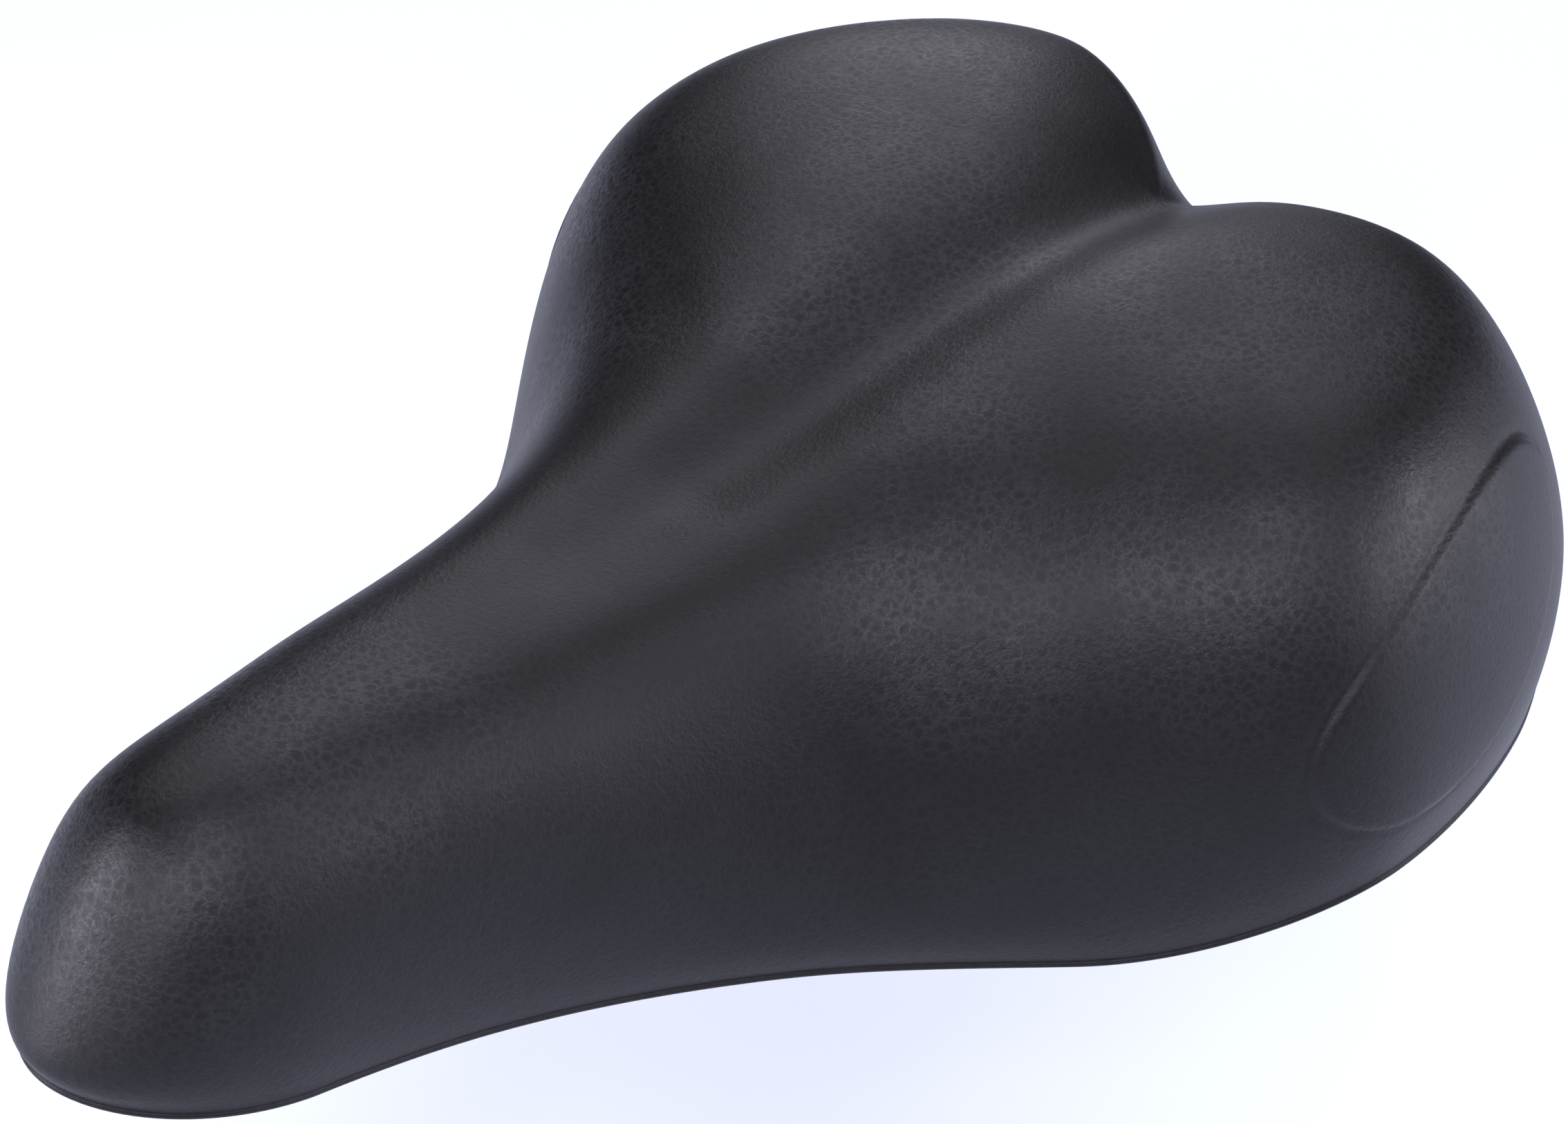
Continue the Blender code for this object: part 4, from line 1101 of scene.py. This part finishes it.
def hexagon(name, base, low, high, both_ends):
    """A hexagon with its corners turned off at one end or at both."""
    body = cylinder(name, base + Vector((0, 0, (low + high) / 2)), HEX_RADIUS, high - low, sides=6)
    flat = HEX_RADIUS * math.cos(math.pi / 6)
    top = flat if both_ends else HEX_RADIUS + GAP
    profile = [(0.0, high), (top, high), (HEX_RADIUS + GAP, high - HEX_CHAMFER)]
    profile += [(HEX_RADIUS + GAP, low + HEX_CHAMFER), (flat, low), (0.0, low)]
    blank = turned("blank", profile if both_ends else profile[:2] + profile[3:], base)
    combine(body, [blank], "INTERSECT")
    return body


def make_bolt(base):
    head_top = -BRIDGE_THICKNESS - 2 * GAP - WASHER_THICKNESS
    bolt = hexagon("bolt", base, head_top - BOLT_HEAD, head_top, False)
    top = NUT_LEVEL + NUT_HEIGHT - GAP
    low = head_top - BOLT_HEAD / 2
    shank = cylinder("shank", base + Vector((0, 0, (low + top) / 2)), BOLT_RADIUS, top - low)
    combine(bolt, [shank], "UNION")
    return soften(bolt)


def make_nut(base):
    nut = hexagon("nut", base, NUT_LEVEL, NUT_LEVEL + NUT_HEIGHT, True)
    bore = cylinder("bore", base + Vector((0, 0, NUT_LEVEL)), BOLT_RADIUS + GAP, CUT_DEPTH)
    combine(nut, [bore], "DIFFERENCE")
    return soften(nut)


def make_bushing():
    end = BUSHING_HALF + COLLAR_WIDTH
    bore = RAIL_RADIUS + GAP
    profile = [
        (COLLAR_RADIUS, end),
        (COLLAR_RADIUS, BUSHING_HALF),
        (BUSHING_RADIUS, BUSHING_HALF),
        (BUSHING_RADIUS, -BUSHING_HALF),
        (COLLAR_RADIUS, -BUSHING_HALF),
        (COLLAR_RADIUS, -end),
        (bore, -end),
        (bore, end),
    ]
    return soften(turned("bushing_sleeve", profile, place(0, NOSE_BAR_STATION, NOSE_BAR_LEVEL), axis="X"))


def make_clip():
    """The strap under the bushing: two flat tabs and a half-round cradle, as an extruded outline."""
    inner = BUSHING_RADIUS + GAP
    outer = inner + CLIP_THICKNESS
    tab_top = BLOCK_LEVEL - GAP - NOSE_BAR_LEVEL
    tab_low = tab_top - CLIP_THICKNESS
    dips = math.asin(-tab_top / inner), math.asin(-tab_low / outer)
    arcs = []
    for radius, dip in zip((inner, outer), dips):
        turns = np.linspace(dip, math.pi - dip, CRADLE_POINTS)
        arcs.append([(-radius * math.cos(turn), -radius * math.sin(turn)) for turn in turns])
    front, rear = BLOCK_FRONT - NOSE_BAR_STATION, BLOCK_REAR - NOSE_BAR_STATION
    outline = [(front, tab_top), *arcs[0], (rear, tab_top)]
    outline += [(rear, tab_low), *arcs[1][::-1], (front, tab_low)]
    half = BLOCK_HALF - GAP
    origin = place(0, NOSE_BAR_STATION, NOSE_BAR_LEVEL)
    bm = bmesh.new()
    face = bm.faces.new([bm.verts.new(origin + Vector((-half, y, z))) for y, z in outline])
    swept = bmesh.ops.extrude_face_region(bm, geom=[face])["geom"]
    moved = [item for item in swept if isinstance(item, bmesh.types.BMVert)]
    bmesh.ops.translate(bm, verts=moved, vec=(2 * half, 0, 0))
    bmesh.ops.recalc_face_normals(bm, faces=bm.faces)
    clip = mesh_object("clip_strap", bm)
    centres = [place(0, station, BLOCK_LEVEL) for station in SCREW_STATIONS.values()]
    holes = [cylinder("hole", centre, SCREW_RADIUS + GAP, CUT_DEPTH) for centre in centres]
    combine(clip, holes, "DIFFERENCE")
    return soften(clip)


def make_nose_screw(station):
    """A pan-head screw with a cross recess, up through the strap into the nose block."""
    head_top = -CLIP_THICKNESS - 2 * GAP
    head_low = head_top - SCREW_HEAD
    end = head_top + SCREW_LENGTH - 2 * GAP
    profile = [
        (0.0, end),
        (SCREW_RADIUS - SCREW_POINT, end),
        (SCREW_RADIUS, end - SCREW_TAPER),
        (SCREW_RADIUS, head_top),
        (SCREW_HEAD_RADIUS, head_top),
    ]
    for turn in np.radians(SCREW_HEAD_TURNS):
        radius = SCREW_HEAD_RADIUS * (HEAD_FLAT_SHARE + (1 - HEAD_FLAT_SHARE) * math.cos(turn))
        profile.append((radius, head_top - SCREW_HEAD / 3 - SCREW_HEAD * 2 / 3 * math.sin(turn)))
    profile.append((0.0, head_low))
    base = place(0, station, BLOCK_LEVEL)
    screw = turned("nose_screw", profile, base)
    floor = base + Vector((0, 0, head_low))
    cuts = []
    for along, across in ((RECESS_HALF, RECESS_WIDTH / 2), (RECESS_WIDTH / 2, RECESS_HALF)):
        reach = Vector((along, across, SCREW_HEAD / 2))
        cuts.append(box("cut", floor - reach, floor + reach))
    combine(screw, cuts, "DIFFERENCE")
    return soften(screw, FINE_EDGE)


def make_staples(rim):
    """The staples that hold the folded hem to the base, in a row along its inner half."""
    way_in = inward(rim[:, :2])
    spacing = np.linalg.norm(np.diff(rim[:, :2], axis=0), axis=1).mean()
    stride = round(STAPLE_SPACING / spacing)
    half = Vector(STAPLE_SIZE) / 2
    staples = []
    for i in range(stride // 2, COLUMNS, stride):
        spot = rim[i, :2] + way_in[i] * hem_width(rim[i, 1]) * STAPLE_SHARE
        for sign in SIDES.values():
            turn = math.atan2(-way_in[i, 0], way_in[i, 1]) * sign
            centre = place(sign * spot[0], spot[1], rim[i, 2])
            staple = soften(box("staple", -half, half), STAPLE_EDGE)
            staple.data.transform(Matrix.Translation(centre) @ Matrix.Rotation(turn, 4, "Z"))
            staples.append(staple)
    return joined("hem_staples", staples)


# ---------------------------------------------------------------- materials

class Surface:
    """A node material whose patterns are measured in metres on the piece itself."""

    def __init__(self, name, colour, roughness, metallic=0.0, specular=0.5):
        self.material = bpy.data.materials.new(name)
        self.material.use_nodes = True
        self.nodes = self.material.node_tree.nodes
        self.shader = self.nodes["Principled BSDF"]
        self.put(self.shader, "Base Color", (*colour, 1.0))
        self.put(self.shader, "Roughness", roughness)
        self.put(self.shader, "Metallic", metallic)
        self.put(self.shader, "Specular IOR Level", specular)
        self.where = self.nodes.new("ShaderNodeTexCoord").outputs["Object"]
        self.normal = None

    def put(self, node, name, value):
        if isinstance(value, bpy.types.NodeSocket):
            self.material.node_tree.links.new(value, node.inputs[name])
        else:
            node.inputs[name].default_value = value

    def add(self, kind, values, **settings):
        node = self.nodes.new(kind)
        for name, value in settings.items():
            setattr(node, name, value)
        for name, value in values.items():
            self.put(node, name, value)
        return node

    def noise(self, scale, detail=2.0, where=None, output=0):
        values = {"Vector": where or self.where, "Scale": scale, "Detail": detail}
        return self.add("ShaderNodeTexNoise", values).outputs[output]

    def cells(self, scale, feature="F1", where=None):
        values = {"Vector": where or self.where, "Scale": scale}
        return self.add("ShaderNodeTexVoronoi", values, feature=feature).outputs["Distance"]

    def strayed(self, scale, distance, where=None):
        """The place of a point, moved about by a noise."""
        noise = self.noise(scale, output="Color")
        centred = self.add("ShaderNodeVectorMath", {0: noise, 1: (0.5, 0.5, 0.5)}, operation="SUBTRACT")
        size = {0: centred.outputs[0], "Scale": distance}
        moved = self.add("ShaderNodeVectorMath", size, operation="SCALE")
        total = {0: where or self.where, 1: moved.outputs[0]}
        return self.add("ShaderNodeVectorMath", total, operation="ADD").outputs[0]

    def stretched(self, factors):
        values = {0: self.where, 1: factors}
        return self.add("ShaderNodeVectorMath", values, operation="MULTIPLY").outputs[0]

    def math(self, operation, first, second=0.0):
        return self.add("ShaderNodeMath", {0: first, 1: second}, operation=operation).outputs[0]

    def ramp(self, value, low, high, first=0.0, last=1.0):
        values = {"Value": value, "From Min": low, "From Max": high, "To Min": first, "To Max": last}
        return self.add("ShaderNodeMapRange", values, interpolation_type="SMOOTHSTEP").outputs["Result"]

    def patches(self, scale, detail, first, last, low=NOISE_LOW, high=NOISE_HIGH):
        """Soft patches that run from the first value to the last."""
        return self.ramp(self.noise(scale, detail), low, high, first, last)

    def part(self, axis):
        return self.add("ShaderNodeSeparateXYZ", {0: self.where}).outputs[axis]

    def colour(self, factor, first, second):
        node = self.add("ShaderNodeMix", {0: factor}, data_type="RGBA")
        node.inputs[6].default_value = (*first, 1.0)
        node.inputs[7].default_value = (*second, 1.0)
        self.put(self.shader, "Base Color", node.outputs[2])

    def roughness(self, value):
        self.put(self.shader, "Roughness", value)

    def raised(self, height, distance, strength=1.0):
        values = {"Height": height, "Distance": distance, "Strength": strength}
        if self.normal:
            values["Normal"] = self.normal
        self.normal = self.add("ShaderNodeBump", values).outputs["Normal"]
        self.put(self.shader, "Normal", self.normal)


def leather():
    """Soft synthetic leather. A net of fine glossy lines round duller spots, whose lighter line colour is
    a painted highlight, strongest at the listed highlight spots.
    """
    surface = Surface("black_leather", LEATHER, LEATHER_ROUGHNESS, specular=LEATHER_SPECULAR)
    surface.put(surface.shader, "Specular Tint", (*LEATHER_SHEEN, 1.0))
    where = surface.strayed(GRAIN_WANDER_SCALE, GRAIN_WANDER)
    where = surface.strayed(FRAY_SCALE, FRAY, where)
    edge = surface.cells(GRAIN_SCALE, "DISTANCE_TO_EDGE", where)
    width = surface.patches(LINE_SCALE, 2.0, GRAIN_LINE / 3, GRAIN_LINE)
    lines = surface.ramp(surface.math("DIVIDE", edge, width), 0.0, 1.0, 1.0 - MESH_SHARE, 0.0)
    mesh = surface.ramp(edge, 0.0, MESH_LINE, MESH_SHARE, 0.0)
    lines = surface.math("ADD", lines, mesh)
    across = surface.math("ABSOLUTE", surface.part("X"))
    mirrored = surface.add("ShaderNodeCombineXYZ", {0: across, 1: surface.part("Y"), 2: surface.part("Z")})
    # Painted highlight: a mask that is strongest at the listed spots where highlights fall
    highlight_mask = 0.0
    for *centre, reach in HIGHLIGHT_SPOTS:
        values = {0: mirrored.outputs[0], 1: place(*centre)}
        away = surface.add("ShaderNodeVectorMath", values, operation="DISTANCE").outputs["Value"]
        near = surface.ramp(away, reach / 4, reach, 1.0, 0.0)
        highlight_mask = surface.math("MAXIMUM", near, highlight_mask)
    highlight_mask = surface.math("MAXIMUM", highlight_mask, LEAST_NET)
    uneven = surface.patches(PATCH_SCALE, 2.0, LEAST_PATCH, 1.0, high=PATCH_HIGH)
    net = surface.math("MULTIPLY", lines, surface.math("MULTIPLY", highlight_mask, uneven))
    crease = surface.noise(CREASE_SCALE, 4.0, surface.strayed(CREASE_SCALE / 3, GRAIN_WANDER))
    surface.raised(surface.noise(SWELL_SCALE, 1.0), SWELL_HEIGHT)
    surface.raised(lines, GRAIN_HEIGHT)
    surface.raised(crease, CREASE_HEIGHT)
    surface.raised(surface.cells(FINE_GRAIN_SCALE), FINE_GRAIN_HEIGHT)
    # The lines are painted lighter: faint real grain everywhere, and a painted highlight where the mask is
    # strong
    surface.colour(net, LEATHER, GRAIN_AND_HIGHLIGHT_LINES)
    dull = surface.patches(PATCH_SCALE / 2, 2.0, 0.0, PATCH_DULLNESS)
    gloss = surface.math("MULTIPLY", net, -LINE_GLOSS)
    surface.roughness(surface.math("ADD", surface.math("ADD", dull, gloss), LEATHER_ROUGHNESS))
    return surface.material


def foam():
    """Open-cell foam: small pores, larger ones here and there, and a yellowed skin in patches."""
    surface = Surface("pad_foam", (0.55, 0.50, 0.36), 0.9, specular=0.3)
    surface.colour(surface.noise(45, 3.0), (0.60, 0.55, 0.41), (0.48, 0.42, 0.28))
    surface.raised(surface.cells(900), 0.0003)
    surface.raised(surface.ramp(surface.cells(260), 0.0, 0.3), 0.0003)
    return surface.material


def moulded(name, dark, light, roughness, sparks, height):
    """Moulded plastic with a spark-eroded texture and faint flow marks."""
    surface = Surface(name, dark, roughness)
    surface.colour(surface.noise(70, 3.0), dark, light)
    flow = surface.noise(35, 2.0, surface.stretched((1.0, 0.2, 1.0)))
    surface.roughness(surface.ramp(flow, NOISE_LOW, NOISE_HIGH, roughness - 0.06, roughness + 0.06))
    surface.raised(surface.noise(sparks, 3.0), height)
    surface.raised(surface.cells(sparks * 0.6), height / 2)
    return surface.material


def coated(name, colour, roughness):
    """Powder-coated steel: a slight orange peel, lighter dusty patches and duller patches."""
    surface = Surface(name, colour, roughness)
    dusty = tuple(1.9 * part for part in colour)
    surface.colour(surface.patches(120, 5.0, 0.0, 1.0, 0.45, 0.8), colour, dusty)
    surface.roughness(surface.patches(60, 3.0, roughness, roughness + 0.14))
    surface.raised(surface.noise(650, 2.0), 0.00004)
    return surface.material


def plated(name, bright, dull, roughness):
    """Zinc-plated steel with a faintly blue and yellow cast, fine scratches and duller patches."""
    surface = Surface(name, bright, roughness, metallic=1.0)
    surface.colour(surface.noise(220, 4.0), bright, dull)
    scratches = surface.noise(900, 2.0, surface.stretched((1.0, 0.08, 1.0)))
    patches = surface.patches(160, 4.0, roughness, roughness + 0.2, 0.35, 0.75)
    surface.roughness(surface.math("ADD", patches, surface.math("MULTIPLY", scratches, 0.06)))
    surface.raised(scratches, 0.000015)
    return surface.material


def rubber():
    """Cast elastomer: matt, with a soft skin and a few bubbles."""
    surface = Surface("elastomer", (0.05, 0.05, 0.055), 0.6)
    surface.colour(surface.noise(130, 4.0), (0.042, 0.042, 0.046), (0.066, 0.066, 0.072))
    surface.roughness(surface.patches(90, 2.0, 0.52, 0.68))
    surface.raised(surface.noise(800, 3.0), 0.00004)
    surface.raised(surface.ramp(surface.cells(180), 0.0, 0.12), 0.00008)
    return surface.material


# ---------------------------------------------------------------- studio

def make_camera():
    camera = link(bpy.data.objects.new("camera", bpy.data.cameras.new("camera")))
    camera.data.sensor_width = 36.0
    camera.data.lens = LENS
    back = direction(AZIMUTH, ELEVATION)
    camera.location = place(*TARGET_PLACE) + back * DISTANCE
    facing = (-back).to_track_quat("-Z", "Y").to_matrix().to_4x4()
    camera.rotation_euler = (facing @ Matrix.Rotation(math.radians(ROLL), 4, "Z")).to_euler()
    bpy.context.scene.camera = camera


def direction(azimuth, elevation):
    """Unit vector towards an azimuth, 0 in front of the nose, and an elevation, both in degrees."""
    around, up = math.radians(azimuth), math.radians(elevation)
    return Vector((math.sin(around) * math.cos(up), -math.cos(around) * math.cos(up), math.sin(up)))


def make_lights():
    aim = Vector((0, 0, LIGHT_AIM))
    for i, (azimuth, elevation, power) in enumerate(LIGHTS):
        data = bpy.data.lights.new(f"softbox_{i}", "AREA")
        data.shape = "SQUARE"
        data.size = LIGHT_SIZE
        data.energy = power
        data.color = LIGHT_TINT
        lamp = link(bpy.data.objects.new(data.name, data))
        facing = direction(azimuth, elevation)
        lamp.location = aim + facing * LIGHT_DISTANCE
        lamp.location.z = max(lamp.location.z, CAD_BOX[0].z - FLOOR_DROP + LEAST_LIGHT_HEIGHT)
        lamp.rotation_euler = (aim - lamp.location).to_track_quat("-Z", "Y").to_euler()


def make_stage():
    world = bpy.context.scene.world or bpy.data.worlds.new("world")
    bpy.context.scene.world = world
    world.use_nodes = True
    world.node_tree.nodes["Background"].inputs["Color"].default_value = (1, 1, 1, 1)
    world.node_tree.nodes["Background"].inputs["Strength"].default_value = 0.0
    bm = bmesh.new()
    bmesh.ops.create_grid(bm, x_segments=1, y_segments=1, size=FLOOR_HALF)
    floor = mesh_object("floor", bm)
    floor.location.z = CAD_BOX[0].z - FLOOR_DROP
    paper = Surface("pale_floor", FLOOR_COLOUR, 0.9, specular=0.0)
    floor.data.materials.append(paper.material)
    bpy.context.scene.view_settings.view_transform = "Standard"


# ---------------------------------------------------------------- assembly

def make_pad():
    grid = swell(fair(even_rows(pad_grid(), ROWS), FAIRING_ROUNDS))
    cover = install(make_cover(detailed(grid)), "shell", "black_leather", "cover")
    core = install(make_foam(carved(grid)), "shell", "pad_foam", "foam_pad")
    install(make_staples(grid[0]), "shell", "zinc_steel")


def make_suspension(side, sign):
    base = place(sign * ELASTOMER_HALF, BRIDGE_STATION, 0.0)
    block = named(make_elastomer(base), f"spring_block_{side}")
    install(block, "rails", "elastomer", f"elastomer_{side}")
    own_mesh(block)
    pieces = (
        (make_lower_seat(base), "lower_seat_ring", "rails", "black_steel", "lower_seat"),
        (make_upper_cup(base), "upper_cup_ring", "shell", "black_plastic", "upper_cup"),
        (make_washer(base), "stop_washer", "shell", "zinc_steel", "bolt_washer"),
        (make_bolt(base), "guide_bolt", "shell", "zinc_steel", "bolt"),
        (make_nut(base), "hex_nut", "shell", "zinc_steel", "bolt_nut"),
        (make_rail_cap(sign), "end_cap", "rails", "black_plastic", "rail_cap"),
    )
    for piece, name, body, slot, node in pieces:
        install(named(piece, f"{name}_{side}"), body, slot, f"{node}_{side}")


PLASTIC = moulded("black_plastic", (0.016, 0.016, 0.018), (0.024, 0.024, 0.026), 0.48, 1500, 0.00008)
NYLON = moulded("grey_nylon", (0.14, 0.14, 0.15), (0.19, 0.19, 0.20), 0.48, 1100, 0.00003)
STEEL = coated("black_steel", (0.020, 0.020, 0.022), 0.34)
ZINC = plated("zinc_steel", (0.58, 0.59, 0.61), (0.46, 0.47, 0.47), 0.28)
MATERIALS = {
    "black_leather": leather(),
    "pad_foam": foam(),
    "black_plastic": PLASTIC,
    "grey_nylon": NYLON,
    "black_steel": STEEL,
    "zinc_steel": ZINC,
    "elastomer": rubber(),
}

make_pad()
install(make_base(), "shell", "black_plastic", "base_pan")
install(make_rail(), "rails", "black_steel", "rail")
install(make_bridge(), "rails", "black_steel", "rear_bridge")
install(make_welds(), "rails", "black_steel")
for side, sign in SIDES.items():
    make_suspension(side, sign)
install(make_bushing(), "shell", "grey_nylon", "nose_bushing")
install(make_clip(), "shell", "zinc_steel", "nose_clip")
for end, station in SCREW_STATIONS.items():
    screw = named(make_nose_screw(station), f"strap_screw_{end}")
    install(screw, "shell", "zinc_steel", f"nose_screw_{end}")

make_camera()
make_stage()
make_lights()
